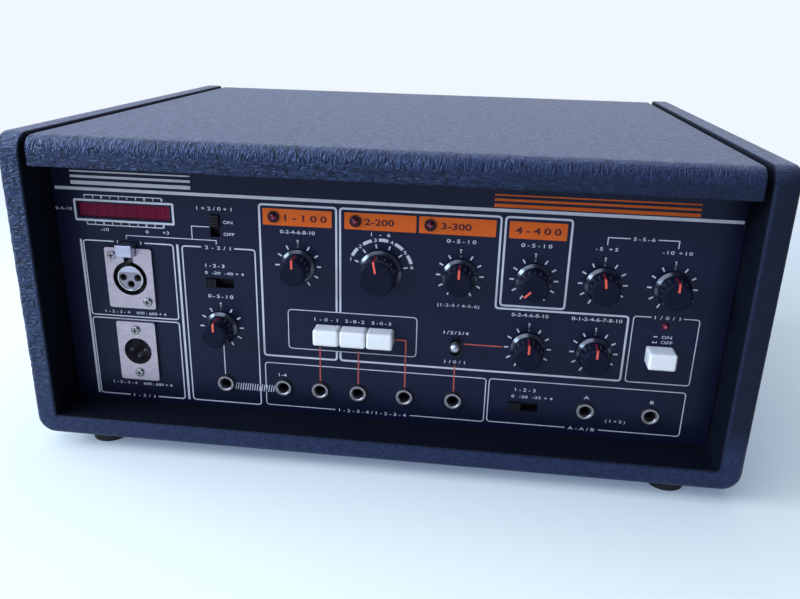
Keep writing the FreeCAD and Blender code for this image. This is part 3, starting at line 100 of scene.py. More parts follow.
def minus(tree, a, b):
    return math_node(tree, "SUBTRACT", a, b)


def plus(tree, total, *others):
    for other in others:
        total = math_node(tree, "ADD", total, other)
    return total


def axes(tree, vector):
    """The sockets X, Y and Z of a vector."""
    apart = tree.nodes.new("ShaderNodeSeparateXYZ")
    feed(apart, {0: vector})
    return apart.outputs


def span(tree, value, low, high, to_low=0.0, to_high=1.0, smooth=False):
    """Maps the span low to high of a value to another span, and holds it there."""
    kind = "SMOOTHSTEP" if smooth else "LINEAR"
    return add(tree, "MapRange", {0: value, 1: low, 2: high, 3: to_low, 4: to_high}, interpolation_type=kind)


def mix(tree, factor, first, second):
    return add(tree, "MixRGB", {0: factor, 1: first, 2: second})


def lit(color, gain):
    return tuple(min(1.0, part * gain) for part in color)


finish = {}


def new_material(name):
    """Starts a finish, and gives its node tree and its shader."""
    finish[name] = bpy.data.materials.new(name)
    finish[name].use_nodes = True
    tree = finish[name].node_tree
    return tree, tree.nodes["Principled BSDF"]


def object_place(tree, scale=(1.0, 1.0, 1.0)):
    at = add(tree, "TexCoord", output="Object")
    return add(tree, "Mapping", {"Vector": at, "Scale": scale})


def noise_node(tree, place, size, detail=4.0, roughness=0.5):
    """Noise whose features are about size millimetres across."""
    return add(tree, "TexNoise", {"Vector": place, "Scale": 1 / (size * mm), "Detail": detail,
                                  "Roughness": roughness})


def shine(level, tint=(1.0, 1.0, 1.0)):
    """The sockets for the strength of the gloss and for its tint."""
    return {"Specular IOR Level": level, "Specular Tint": tint}


def surface(name, color, roughness, metallic, mottle, mottle_size, smudge, grain, relief,
            constants=None, stretch=(1.0, 1.0, 1.0)):
    """A hard surface: mottled colour, smudged gloss and a fine grain of the given size and depth (mm)."""
    tree, shader = new_material(name)
    place = object_place(tree, stretch)
    broad = span(tree, noise_node(tree, place, mottle_size, 6.0), 0.3, 0.7)
    patchy = span(tree, noise_node(tree, place, mottle_size * 0.4, 5.0), 0.3, 0.7,
                  roughness - smudge, roughness + smudge)
    bump = add(tree, "Bump", {"Height": noise_node(tree, place, grain), "Strength": 1.0,
                              "Distance": relief * mm})
    feed(shader, {"Base Color": mix(tree, broad, lit(color, 1 - mottle), lit(color, 1 + mottle)),
                  "Roughness": patchy, "Metallic": metallic, "Normal": bump, **(constants or {})})
    return tree, shader


# ---- mesh building ----
def new_object(name, data):
    made = bpy.data.objects.new(name, data)
    bpy.context.scene.collection.objects.link(made)
    return made


def mesh_of(name, build, solid=True):
    """The mesh of a bmesh; the faces of a solid are turned outward."""
    mesh = bpy.data.meshes.new(name)
    if solid:
        bmesh.ops.recalc_face_normals(build, faces=build.faces)
    build.normal_update()
    build.to_mesh(mesh)
    build.free()
    return mesh


def block(build, low, high):
    """A block between two corners."""
    for vertex in bmesh.ops.create_cube(build, size=1.0)["verts"]:
        vertex.co = [start + (share + 0.5) * (end - start) for start, share, end in zip(low, vertex.co, high)]


def finish_piece(name, shape, material, body="root", sharp=35.0, replaces=()):
    """Makes an object of a mesh or a bmesh, shades it, and lets it ride on a body."""
    mesh = mesh_of(name, shape) if isinstance(shape, bmesh.types.BMesh) else shape
    for polygon in mesh.polygons:
        polygon.use_smooth = True
    mesh.set_sharp_from_angle(angle=math.radians(sharp))
    mesh.materials.clear()
    mesh.materials.append(finish[material])
    made = new_object(name, mesh)
    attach(made, body)
    if replaces:
        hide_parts(*replaces)
    return made


def second_finish(piece, material, chosen):
    """Gives the polygons that chosen(polygon) picks another material."""
    piece.data.materials.append(finish[material])
    for polygon in piece.data.polygons:
        if chosen(polygon):
            polygon.material_index = 1


def rounded(points, radius, closed=False, steps=5):
    """The points of a 2-D path with its corners rounded."""
    path = []
    for index, corner in enumerate(points):
        corner = Vector(corner)
        before = Vector(points[index - 1]) - corner
        after = Vector(points[(index + 1) % len(points)]) - corner
        at_end = not closed and index in (0, len(points) - 1)
        if at_end or radius <= 0 or math.pi - before.angle(after) < 0.02:
            path.append(corner)
            continue
        reach = min(radius / math.tan(before.angle(after) / 2), before.length * 0.48, after.length * 0.48)
        start = corner + before.normalized() * reach
        end = corner + after.normalized() * reach
        for part in range(steps + 1):
            t = part / steps
            path.append(start * (1 - t) ** 2 + corner * 2 * t * (1 - t) + end * t ** 2)
    return path


def bridge(build, rings):
    """Faces from each ring of points to the next; a ring may be one point."""
    for first, second in zip(rings, rings[1:]):
        for index in range(max(len(first), len(second))):
            corners = [first[index % len(first)], first[(index + 1) % len(first)],
                       second[(index + 1) % len(second)], second[index % len(second)]]
            build.faces.new(list(dict.fromkeys(corners)))


def lathe(build, profile, centre, segments=72):
    """Turns a profile of (radius, distance in front of the centre) round the axis that points to the back."""
    rings = []
    for radius, forward in profile:
        angles = [2 * math.pi * index / segments for index in range(segments if radius > 1e-4 else 1)]
        rings.append([build.verts.new(centre + Vector((math.sin(angle) * radius, -forward,
                                                       math.cos(angle) * radius)) * mm) for angle in angles])
    bridge(build, rings)


# ---- finishes ----
grain_depth = 0.20


def vinyl_material(name, gloss):
    """Black vinyl with a leather grain; the attributes say where and which way it is creased, and where shade
    is painted on it.
    """
    tree, shader = new_material(name)
    place = object_place(tree)

    def warped(scale, amount):
        wander = add(tree, "TexNoise", {"Vector": place, "Scale": scale, "Detail": 3.0}, output="Color")
        wander = add(tree, "VectorMath", {0: wander, 1: (0.5, 0.5, 0.5)}, operation="SUBTRACT")
        wander = add(tree, "VectorMath", {0: wander, "Scale": amount * mm}, operation="SCALE")
        return add(tree, "VectorMath", {0: place, 1: wander}, operation="ADD")

    def cracks(where, scale, width):
        edge = add(tree, "TexVoronoi", {"Vector": where, "Scale": scale}, feature="DISTANCE_TO_EDGE")
        return span(tree, edge, 0.0, width, smooth=True)

    def creases(attribute, cell, width, wander):
        """Ridges along the edges of long cells, broken here and there; wander bends them (mm)."""
        scale = tuple(1 / (side * mm) for side in cell)
        along = add(tree, "Mapping", {"Vector": warped(120.0, wander), "Scale": scale})
        ridge = span(tree, cracks(along, 1.0, width), 0.0, 1.0, 1.0, 0.0)
        broken = span(tree, noise_node(tree, place, 6.0, 2.0), 0.36, 0.52, 0.25, 1.0)
        amount = add(tree, "Attribute", output="Fac", attribute_name=attribute)
        return times(tree, times(tree, ridge, broken), amount)

    pebbles = cracks(warped(260.0, 2.2), 560.0, 0.20)
    fine = noise_node(tree, place, 0.4, 3.0)
    soft = noise_node(tree, place, 3.2, 3.0)
    folds = plus(tree, creases("upright", (2.1, 9.0, 9.0), 0.15, 0.9),
                 creases("level", (13.0, 10.0, 2.1), 0.14, 0.8),
                 creases("rippled", (9.0, 6.0, 1.3), 0.16, 0.8))
    valleys = plus(tree, creases("upright", (3.4, 7.0, 7.0), 0.12, 1.2),
                   creases("level", (7.5, 8.0, 2.3), 0.17, 1.0),
                   creases("rippled", (7.5, 6.0, 1.9), 0.16, 0.9))
    height = plus(tree, times(tree, pebbles, 0.30), times(tree, fine, 0.20), times(tree, soft, 2.3),
                  times(tree, folds, 1.9))
    height = minus(tree, height, times(tree, valleys, 2.2))
    bump = add(tree, "Bump", {"Height": height, "Strength": 1.0, "Distance": grain_depth * mm})

    streaks = noise_node(tree, object_place(tree, (0.5, 1.0, 1.0)), 1.3, 4.0)
    specks = noise_node(tree, object_place(tree, (0.6, 1.0, 1.0)), 4.2, 5.0, 0.7)
    facing = axes(tree, add(tree, "TexCoord", output="Normal"))
    # top faces lighter: dust, and a painted sheen on the lid's top
    dust_and_top_sheen = times(tree, span(tree, facing["Z"], 0.75, 0.99), span(tree, specks, 0.40, 0.60))
    # painted shade: a darker colour and a rougher gloss where the covering lies in shade
    painted_shade = add(tree, "Attribute", output="Fac", attribute_name="painted_shade")
    # base colour: grain and streaks, the top's dust and painted sheen, crests lighter for wear and as a
    # painted highlight, painted shade in the crease valleys and where the covering lies in shade
    shade = (0.005, 0.007, 0.021)
    for amount, color in ((pebbles, (0.010, 0.014, 0.047)),
                          (span(tree, streaks, 0.35, 0.7), (0.022, 0.029, 0.084)),
                          (dust_and_top_sheen, (0.056, 0.067, 0.128)), (folds, (0.039, 0.061, 0.148)),
                          (valleys, (0.003, 0.004, 0.010)), (painted_shade, (0.0025, 0.003, 0.007))):
        shade = mix(tree, amount, shade, color)
    patches = span(tree, noise_node(tree, place, 2.4, 4.0, 0.6), 0.36, 0.64, 0.06, -0.05)
    rough = plus(tree, span(tree, folds, 0.0, 1.0, 0.42, 0.28), patches, times(tree, painted_shade, 0.30))
    feed(shader, {"Base Color": shade, "Roughness": rough, "Normal": bump,
                  **shine(gloss, (0.46, 0.62, 0.98))})


meter_edge = -187.0
meter_pitch = 6.15


def meter_material(name):
    """Dark red glass with the faint edges of ten lamps behind it."""
    tree, shader = new_material(name)
    place = object_place(tree)
    along = times(tree, minus(tree, axes(tree, place)["X"], meter_edge * mm), 1 / (meter_pitch * mm))
    edge = span(tree, math_node(tree, "PINGPONG", along, 0.5), 0.0, 0.10, 0.45, 1.0, smooth=True)
    broad = span(tree, noise_node(tree, place, 20.0, 2.0), 0.35, 0.65)
    red = mix(tree, broad, (0.090, 0.0012, 0.018), (0.150, 0.0030, 0.032))
    feed(shader, {"Base Color": mix(tree, edge, (0.035, 0.0006, 0.008), red),
                  "Roughness": span(tree, noise_node(tree, place, 7.0), 0.3, 0.7, 0.12, 0.26),
                  "Specular IOR Level": 0.10})


satin = (0.44, 0.39, 0.46), 0.36, 1, 0.08, 7, 0.09, 0.25, 0.006, None, (1.0, 1.0, 3.0)
neck_half = 2.95
neck_start = 7.6
ring_radius = 10.9


def input_shell_material(name):
    """Satin nickel, made black on the ring and on the neck up to the latch."""
    tree, shader = surface(name, *satin)
    x, row = place_of("input_connector_insert")
    at = axes(tree, object_place(tree))
    across = math_node(tree, "ABSOLUTE", minus(tree, at["X"], x * mm))
    above = minus(tree, at["Z"], underside + row * mm)
    away = math_node(tree, "SQRT", plus(tree, times(tree, across, across), times(tree, above, above)))
    neck = times(tree, math_node(tree, "LESS_THAN", across, neck_half * mm),
                 math_node(tree, "GREATER_THAN", at["Z"], underside + (row + neck_start) * mm))
    black = math_node(tree, "MAXIMUM", neck, math_node(tree, "LESS_THAN", away, ring_radius * mm))
    bare = shader.inputs["Base Color"].links[0].from_socket
    feed(shader, {"Base Color": mix(tree, black, bare, (0.008, 0.008, 0.014)),
                  "Metallic": minus(tree, 1.0, black)})


# each finish: colour, roughness, metal, mottling and its size (mm), smudges, grain and its depth (mm),
# then shine and stretch where they aren't plain
finish_table = {
    "painted_wood": ((0.012, 0.012, 0.015), 0.6, 0, 0.25, 3, 0.10, 0.5, 0.05, None, (1.0, 0.12, 1.0)),
    "panel_enamel": ((0.0052, 0.0064, 0.0215), 0.34, 0, 0.10, 60, 0.05, 0.18, 0.006,
                     shine(0.28, (0.55, 0.66, 1.0))),
    "zinc_plate": ((0.56, 0.56, 0.53), 0.36, 1, 0.10, 9, 0.10, 0.5, 0.006),
    "deck_enamel": ((0.018, 0.018, 0.021), 0.42, 0, 0.12, 40, 0.07, 0.3, 0.012),
    "satin_nickel": satin,
    "bright_nickel": ((0.62, 0.63, 0.66), 0.17, 1, 0.05, 5, 0.05, 0.4, 0.003),
    "deck_metal": ((0.19, 0.19, 0.205), 0.46, 1, 0.08, 4, 0.08, 0.3, 0.006),
    "dark_nickel": ((0.34, 0.33, 0.37), 0.38, 1, 0.10, 3, 0.08, 0.3, 0.005),
    "lever_metal": ((0.50, 0.52, 0.62), 0.42, 1, 0.08, 3, 0.08, 0.3, 0.005),
    "screw_steel": ((0.34, 0.34, 0.37), 0.28, 1, 0.12, 2, 0.08, 0.3, 0.006),
    "latch_metal": ((0.45, 0.46, 0.60), 0.34, 1, 0.10, 3, 0.10, 0.4, 0.012),
    # the knob's plastic glosses twice as strongly as plain plastic, for brighter highlights; its face has a
    # copy that barely reflects, as painted shade
    "knob_plastic": ((0.006, 0.007, 0.018), 0.22, 0, 0.12, 4, 0.05, 0.2, 0.003,
                     shine(1.0, (0.80, 0.87, 1.0))),
    "knob_face_plastic": ((0.0062, 0.0070, 0.0175), 0.55, 0, 0.18, 3, 0.06, 0.25, 0.012,
                          shine(0.11, (0.5, 0.62, 1.0))),
    "pointer_red": ((0.72, 0.085, 0.055), 0.40, 0, 0.08, 2, 0.07, 0.2, 0.005),
    # the pointer's red darkened, painted shade for where it runs down the knob's side
    "pointer_side_red": ((0.16, 0.006, 0.022), 0.42, 0, 0.10, 2, 0.07, 0.2, 0.005),
    "button_plastic": ((0.78, 0.77, 0.81), 0.34, 0, 0.03, 9, 0.06, 0.3, 0.004),
    "black_plastic": ((0.006, 0.006, 0.010), 0.45, 0, 0.15, 5, 0.07, 0.25, 0.010, shine(0.22)),
    "connector_face_grey": ((0.27, 0.265, 0.32), 0.42, 0.6, 0.10, 3, 0.08, 0.25, 0.012),
    "lens_red": ((0.085, 0.0012, 0.016), 0.16, 0, 0.25, 1.6, 0.05, 0.8, 0.008, shine(0.35)),
    "dark_insert": ((0.030, 0.027, 0.032), 0.32, 0, 0.15, 4, 0.07, 0.25, 0.008),
    # the pink centre of a lamp's lens: the lamp inside seen through it, and a painted highlight
    "lamp_core": ((0.55, 0.07, 0.20), 0.30, 0, 0.15, 0.8, 0.05, 0.4, 0.005),
    "spring_brass": ((0.72, 0.52, 0.24), 0.30, 1, 0.10, 5, 0.07, 0.4, 0.004),
    "sintered_bronze": ((0.52, 0.34, 0.17), 0.45, 1, 0.18, 2, 0.07, 0.2, 0.020),
    "ground_rubber": ((0.016, 0.016, 0.017), 0.72, 0, 0.18, 4, 0.07, 0.3, 0.030),
    "tape_oxide": ((0.075, 0.035, 0.02), 0.30, 0, 0.08, 12, 0.07, 0.15, 0.002),
    "green_board": ((0.03, 0.12, 0.055), 0.45, 0, 0.25, 3, 0.07, 1.0, 0.03),
    "clear_acrylic": ((0.80, 0.84, 0.86), 0.08, 0, 0.02, 30, 0.03, 3.0, 0.003,
                      {"Transmission Weight": 0.9, "IOR": 1.49, "Alpha": 0.55}),
    "white_ink": ((0.52, 0.52, 0.63), 0.5, 0, 0.06, 3, 0.07, 0.2, 0.01),
    "orange_ink": ((0.62, 0.105, 0.014), 0.5, 0, 0.06, 8, 0.07, 0.2, 0.01, shine(0.15)),
    "red_ink": ((0.44, 0.075, 0.060), 0.5, 0, 0.06, 3, 0.07, 0.2, 0.01, shine(0.3)),
    "dark_ink": ((0.085, 0.016, 0.020), 0.5, 0, 0.06, 3, 0.07, 0.2, 0.01, shine(0.15)),
}
for name, values in finish_table.items():
    surface(name, *values)
vinyl_material("crinkled_vinyl", 0.38)
# a copy with weak gloss, which paints the shade inside the cabinet's frame
vinyl_material("recess_shade_vinyl", 0.14)
meter_material("meter_red")
input_shell_material("input_shell_nickel")

node_finish = {
    "crinkled_vinyl": "back_board",
    "panel_enamel": "front_panel",
    "deck_enamel": "deck_plate",
    "zinc_plate": "chassis_tray potentiometers rotary_switch push_switches drive_motor power_transformer "
                  "reverb_tank lid_hinge_leaves cabinet_hinge_leaves",
    "black_plastic": "slide_switches toggle_switch direct_slider input_level_slider output_level_slider "
                     "lamp_bezels tape_chamber_walls cord_gland",
    "button_plastic": "left_effect_button middle_effect_button right_effect_button power_button",
    "lever_metal": "toggle_lever",
    "meter_red": "meter_lens",
    "input_shell_nickel": "input_connector_shell",
    "latch_metal": "input_latch",
    "satin_nickel": "output_connector_shell",
    "dark_insert": "output_connector_insert",
    "spring_brass": "jack_contacts",
    "screw_steel": "pan_head_screws",
    "clear_acrylic": "tape_chamber_cover",
    "tape_oxide": "tape_loop",
    "deck_metal": "tape_guides tape_heads capstan pinch_arm",
    "sintered_bronze": "capstan_bearing motor_pulley",
    "ground_rubber": "feet drive_belt pinch_roller",
    "green_board": "circuit_boards",
}
for material, names in node_finish.items():
    for name in names.split():
        nodes[name].data.materials.clear()
        nodes[name].data.materials.append(finish[material])


# ---- the vinyl covering ----
def ridged(x, y, z, octaves=2):
    total, weight = 0.0, 1.0
    for octave in range(octaves):
        total += weight * (1 - abs(noise.noise(Vector((x, y, z)) * 2 ** octave)) * 2) ** 2
        weight *= 0.5
    return total


def step(value, low, high):
    t = max(0.0, min(1.0, (value - low) / (high - low)))
    return t * t * (3 - 2 * t)


def run(start, end, pitch):
    """Evenly spaced values from start up to, but without, end."""
    count = max(1, round(abs(end - start) / pitch))
    return [start + (end - start) * index / count for index in range(count)]


def turn(steps):
    """Sine and cosine of the angles of a quarter turn."""
    return [(math.sin(math.pi / 2 * index / steps), math.cos(math.pi / 2 * index / steps))
            for index in range(steps + 1)]


# each kind of crease: the sizes of its ridges (mm) and its share of the depth (mm)
crease_kinds = {"upright": ((6.5, 26.0, 26.0), 1.0), "level": ((26.0, 26.0, 6.0), 1.0),
                "rippled": ((20.0, 20.0, 4.5), 0.5)}
crease_depth = 0.34


def skin(name, rings, creased, body, replaces, caps):
    """A covering through rings of points (mm), creased by the amounts that creased(point) gives."""
    build = bmesh.new()
    rows = [[build.verts.new(Vector(point) * mm) for point in ring] for ring in rings]
    bridge(build, rows)
    caps(build, rows)
    mesh = mesh_of(name, build)
    points = [vertex.co / mm for vertex in mesh.vertices]
    normals = [vertex.normal.copy() for vertex in mesh.vertices]
    amounts = [creased(point) for point in points]
    # the crease amounts as attributes, and last the amount of painted shade
    for kind, values in zip((*crease_kinds, "painted_shade"), zip(*amounts)):
        mesh.attributes.new(kind, "FLOAT", "POINT").data.foreach_set("value", values)
    moved = []
    for point, normal, each in zip(points, normals, amounts):
        lift = 0.0
        for amount, (sizes, share) in zip(each, crease_kinds.values()):
            if amount > 0.01:
                lift += amount * (ridged(*(at / size for at, size in zip(point, sizes))) - 1.0) * share
        moved.extend((point + normal * min(lift, 0.0) * crease_depth) * mm)
    mesh.vertices.foreach_set("co", moved)
    return finish_piece(name, mesh, "crinkled_vinyl", body, 60.0, replaces)


def close_end(build, row, side, front):
    """Closes a wall's end: side points run along each side of it, and front points along its front."""
    last = len(row) - 1
    for index in range(side - 2):
        build.faces.new([row[index], row[index + 1], row[last - index - 1], row[last - index]])
    build.faces.new(row[side - 2:side + front + 2])


cheek_low, cheek_high = (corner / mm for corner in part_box("left_cheek"))
floor_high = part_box("bottom_board")[1] / mm
lid_low, lid_high = (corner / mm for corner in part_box("lid"))
lower_corner_radius = 11.0
inner_corner_radius = 1.2
nose_radius = 12.0
cheek_top_radius = 1.5
outer_edge_radius = 3.0
inner_edge_radius = 1.5
fine_reach = 22.0
nose_reach = 60.0
# spacing of the skin's points (mm): across the creases, behind them, and where the skin is plain
crease_pitch, front_pitch, plain_pitch = 0.85, 1.1, 14.0


def shell_stations():
    """Outer and inner points (x, z) from the left cheek's top, round the floor, to the right cheek's top."""
    half, inner, top, bottom, floor_top = -cheek_low.x, floor_high.x, cheek_high.z, cheek_low.z, floor_high.z
    radius, small, rim = lower_corner_radius, inner_corner_radius, cheek_top_radius
    right = [((half - rim * (1 - s), top - rim * (1 - c)), (inner + rim * (1 - s), top - rim * (1 - c)))
             for s, c in turn(4)[:-1]]
    for z in run(top - rim, bottom + radius, crease_pitch):
        share = (top - rim - z) / (top - rim - bottom - radius)
        right.append(((half, z), (inner, top - rim + (floor_top + small - top + rim) * share)))
    for s, c in turn(10):
        right.append(((half - radius + radius * c, bottom + radius - radius * s),
                      (inner - small + small * c, floor_top + small - small * s)))
    for x in run(half - radius, 0.0, 2.0)[1:]:
        right.append(((x, bottom), (x * (inner - small) / (half - radius), floor_top)))
    left = [tuple((-x, z) for x, z in pair) for pair in right]
    return left + [((0.0, bottom), (0.0, floor_top))] + right[::-1]


def shell_section():
    """The wall's section as (share of the thickness, distance from that wall, depth behind the front)."""
    depth = cheek_high.y - cheek_low.y
    plain = run(depth - plain_pitch, fine_reach, plain_pitch)
    plain += run(fine_reach, outer_edge_radius, front_pitch)

    def side(share, way, radius):
        """One side of the wall from the back to the front; way points into the wall."""
        path = [(share, way, depth), (share, 0.0, depth - 1.0)] + [(share, 0.0, y) for y in plain]
        return path + [(share, way * radius * (1 - c), radius * (1 - s)) for s, c in turn(4)]

    front = [(t, outer_edge_radius * (1 - t) - inner_edge_radius * t, 0.0) for t in run(0.0, 1.0, 0.1)[1:]]
    return side(0, 1.0, outer_edge_radius), front, side(1, -1.0, inner_edge_radius)[::-1]


# how strongly shade is painted over the right cheek's front
right_cheek_shade = 0.85


def cheek_creases(point):
    """Creases on the cheeks' front edges, deeper on the left one, and painted shade inside the frame and over
    the right cheek's front.
    """
    front = 1 - step(point.y, cheek_low.y + 3, cheek_low.y + 14)
    upright_part = step(point.z, floor_high.z + 6, floor_high.z + 30)
    front *= step(abs(point.x), floor_high.x, floor_high.x + 2.5)
    # painted shade inside the frame, above the floor board
    inside = 1 - step(abs(point.x), floor_high.x + 0.2, floor_high.x + 1.5)
    inside *= step(point.z, floor_high.z - 1.5, floor_high.z - 0.2)
    if point.x < 0:
        return 0.0, front * upright_part * 0.8, front * 0.3, inside
    # the right cheek also gets painted shade over its front
    painted_darkening = max(inside, right_cheek_shade * front * upright_part)
    return 0.0, front * upright_part * 0.12, front * 0.06, painted_darkening


def in_recess_shade(polygon):
    """Tells whether a polygon lies inside the frame of the cabinet, where a less glossy copy of the vinyl
    paints the shade of the recess.
    """
    at = polygon.center / mm
    return abs(at.x) < floor_high.x + 0.7 and at.z > floor_high.z - 0.7 and at.y > cheek_low.y + 1.0


def cover_shell():
    """The two cheeks and the floor board under one wrapped skin."""
    outside, front, inside = shell_section()
    section = outside + front + inside
    rings = []
    for outer, inner in shell_stations():
        outer, inner = Vector(outer), Vector(inner)
        across = inner - outer
        ring = []
        for share, away, y in section:
            at = outer + across * share + across.normalized() * away
            drop = nose_radius - math.sqrt(max(0.0, nose_radius ** 2 - max(0.0, nose_radius - y) ** 2))
            high = max(0.0, 1 - (cheek_high.z - at.y) / nose_reach)
            ring.append((at.x, cheek_low.y + y, at.y - drop * high))
        rings.append(ring)

    def caps(build, rows):
        for row in (rows[0], rows[-1]):
            close_end(build, row, len(outside), len(front))

    piece = skin("cabinet_covering", rings, cheek_creases, "root",
                 ("left_cheek", "right_cheek", "bottom_board"), caps)
    # the inside of the frame takes the weakly glossy copy, as painted shade
    second_finish(piece, "recess_shade_vinyl", in_recess_shade)


lid_front_radius = 8.0
lid_end_radius = 1.2
lid_fine_reach = 24.0
rail_depth = 24.0
lid_board_thickness = 10.0


def lid_creases(point):
    """Upright creases in a band along the lid's front and ripples under it, fading to the right, and painted
    shade over the front that grows towards the right.
    """
    front = 1 - step(point.y, lid_low.y + 5, lid_low.y + 12)
    band = step(point.z, lid_high.z - 10, lid_high.z - 7.5)
    fading = 1.0 - 0.62 * step(point.x, -60, 150)
    # painted shade over the lid's front, weaker in the top band and growing towards the right
    painted_shade = front * (1 - 0.6 * band) * (0.12 + 0.45 * step(point.x, -60, 190))
    return front * band * fading, 0.0, front * (1 - band) * fading, painted_shade


def lid_section():
    """The lid's outline (y, z) from the back of its top over the front and along its underside."""
    front, back, top, low = lid_low.y, lid_high.y, lid_high.z, lid_low.z
    under = top - lid_board_thickness
    radius, small = lid_front_radius, lid_end_radius
    points = [(y, top) for y in run(back - small, front + lid_fine_reach, plain_pitch)]
    points += [(y, top) for y in run(front + lid_fine_reach, front + radius, front_pitch)]
    points += [(front + radius - radius * s, top - radius + radius * c) for s, c in turn(15)]
    points += [(front, z) for z in run(top - radius, low + small, 0.7)[1:]]
    points += [(front + small - small * c, low + small - small * s) for s, c in turn(3)]
    points += [(y, low) for y in run(front + small, front + rail_depth, 5.0)[1:]]
    points += [(front + rail_depth, z) for z in run(low, under, 2.0)]
    points += [(y, under) for y in run(front + rail_depth, back, plain_pitch)]
    points += [(back, under), (back, top - small)]
    return [Vector(point) for point in points]


def cover_lid():
    """The lid: a board with a rail along its front, under one skin with rounded ends."""
    section = lid_section()
    inward = []
    for index, point in enumerate(section):
        before = (point - section[index - 1]).normalized()
        after = (section[(index + 1) % len(section)] - point).normalized()
        normals = [Vector((-way.y, way.x)) for way in (before, after)]
        inward.append((normals[0] + normals[1]) / (1 + normals[0].dot(normals[1])))
    half = lid_high.x
    ends = [(-half + lid_end_radius * (1 - c), lid_end_radius * (1 - s)) for s, c in turn(4)[:-1]]
    middle = [(x, 0.0) for x in run(-half + lid_end_radius, half - lid_end_radius, crease_pitch)]
    stations = ends + middle + [(half - lid_end_radius, 0.0)] + [(-x, inset) for x, inset in ends[::-1]]
    rings = [[(x, *(point + way * inset)) for point, way in zip(section, inward)] for x, inset in stations]

    def caps(build, rows):
        build.faces.new(rows[0])
        build.faces.new(rows[-1])

    skin("lid_covering", rings, lid_creases, "lid", ("lid",), caps)


panel_thickness = 2.0
ledge_height = 10.0
ledge_rise = 1.5
ledge_edge_radius = 1.2


def ledges():
    """The battens under the lid's ends, painted black."""
    inner, edge = -floor_high.x, cheek_high.x
    front, back = face_y / mm + panel_thickness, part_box("back_board")[0].y / mm
    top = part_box("back_board")[1].z / mm + ledge_rise
    build = bmesh.new()
    for side in (1, -1):
        block(build, Vector((side * inner, front, top - ledge_height)) * mm,
              Vector((side * edge, back, top)) * mm)
    bmesh.ops.bevel(build, geom=build.edges[:], offset=ledge_edge_radius * mm, segments=3, affect="EDGES",
                    profile=0.5)
    finish_piece("lid_ledges", build, "painted_wood")


cover_shell()
cover_lid()
ledges()

# ---- the knobs ----
knob_names = [name for name in nodes if name.endswith("_knob")]
knob_gap = 1.0
knob_rim = 1.5
skirt_reach = 2.25
skirt_height = 4.6
pointer_half, pointer_proud, pointer_sunk = 0.62, 0.12, 0.2
rest_angle = {"reverb_volume_knob": 135.0, "mode_knob": 10.0, "bass_knob": 8.0}


def knob(node):
    """A knob with a flared skirt, a straight body and a rounded rim round its face."""
    low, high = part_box(node)
    centre = Vector((turning_at[node].x, face_y, turning_at[node].z))
    base = (high.x - low.x) / 2 / mm
    top = (face_y - low.y) / mm
    body = base - skirt_reach
    shoulder = knob_gap + skirt_height
    rim = [Vector((body - knob_rim * (1 - c), top - knob_rim * (1 - s))) for s, c in turn(6)]
    foot = (base, knob_gap + 0.8)
    outline = rounded([(3.2, knob_gap), (base - 0.5, knob_gap), (base, knob_gap + 0.3), foot], 0.35, steps=3)
    outline += rounded([foot, (body + 0.25, knob_gap + 2.4), (body + 0.1, shoulder), rim[0]], 1.0,
                       steps=6)[1:] + rim[1:]
    outline += [Vector(((body - knob_rim) * (1 - t), top - 0.2 * t)) for t in (0.1, 0.4, 0.7, 1.0)]
    build = bmesh.new()
    lathe(build, outline, centre, 96)
    piece = finish_piece(node + "_body", build, "knob_plastic", body=node, sharp=50,
                         replaces=(node,))
    face_start = face_y - (top - knob_rim * 0.8) * mm
    # the face takes the barely reflecting copy, as painted shade
    second_finish(piece, "knob_face_plastic", lambda polygon: polygon.center.y < face_start)
    track = [Vector((body + 0.1, shoulder))] + rim + [Vector((body * 0.36, top - 0.12))]
    pointer(node, centre, track, face_y - (top - knob_rim * 0.6) * mm)


def pointer(node, centre, track, shade_end):
    """A strip let into the knob along a track of (radius, distance in front); behind the given end, where it
    runs down the knob's side, it is a darker red that paints shade.
    """
    build = bmesh.new()
    rows = []
    for index, point in enumerate(track):
        way = track[min(index + 1, len(track) - 1)] - track[max(index - 1, 0)]
        out = Vector((way.y, -way.x)).normalized()
        outer = point + out * pointer_proud
        inner = point - out * pointer_sunk
        rows.append([Vector((side * pointer_half, -where.y, where.x)) * mm
                     for side, where in ((-1, inner), (-1, outer), (1, outer), (1, inner))])
    lean = Matrix.Rotation(-math.radians(rest_angle.get(node, 0.0)), 4, "Y")
    corners = [[build.verts.new(centre + lean @ corner) for corner in row] for row in rows]
    bridge(build, corners)
    build.faces.new(corners[0][::-1])
    build.faces.new(corners[-1])
    piece = finish_piece(node + "_pointer", build, "pointer_red", body=node, sharp=40)
    # the strip's part on the knob's side takes the darker red, as painted shade
    second_finish(piece, "pointer_side_red", lambda polygon: polygon.center.y > shade_end)


for name in knob_names:
    knob(name)

# ---- jacks, lamps and the contacts of the connectors ----
jack_row = 30.3
jack_places = [(x, jack_row) for x in (-99.5, -61.8, -38.0, -13.8, 15.5, 45.9, 126.7, 165.3)]
sleeve_outline = [(3.25, -7.9), (3.25, 1.2), (3.55, 1.8), (3.85, 2.08), (4.2, 2.2), (4.8, 2.2), (5.15, 2.1),
                  (5.3, 1.8), (5.3, 0.0), (4.5, 0.0), (4.5, -2.0), (7.0, -2.0), (7.0, -8.0), (3.4, -8.0)]
washer_outline = [(5.25, 0.0), (6.1, 0.0), (6.1, 0.3), (5.95, 0.5), (5.25, 0.5)]


def turned(name, places, outline, material, replaces=(), segments=48, closed=True):
    """The same turned piece at several places of the panel."""
    build = bmesh.new()
    for x, row in places:
        lathe(build, outline + outline[:1] if closed else outline, on_panel(x, row), segments)
    bmesh.ops.remove_doubles(build, verts=build.verts, dist=1e-7)
    return finish_piece(name, build, material, sharp=32, replaces=replaces)


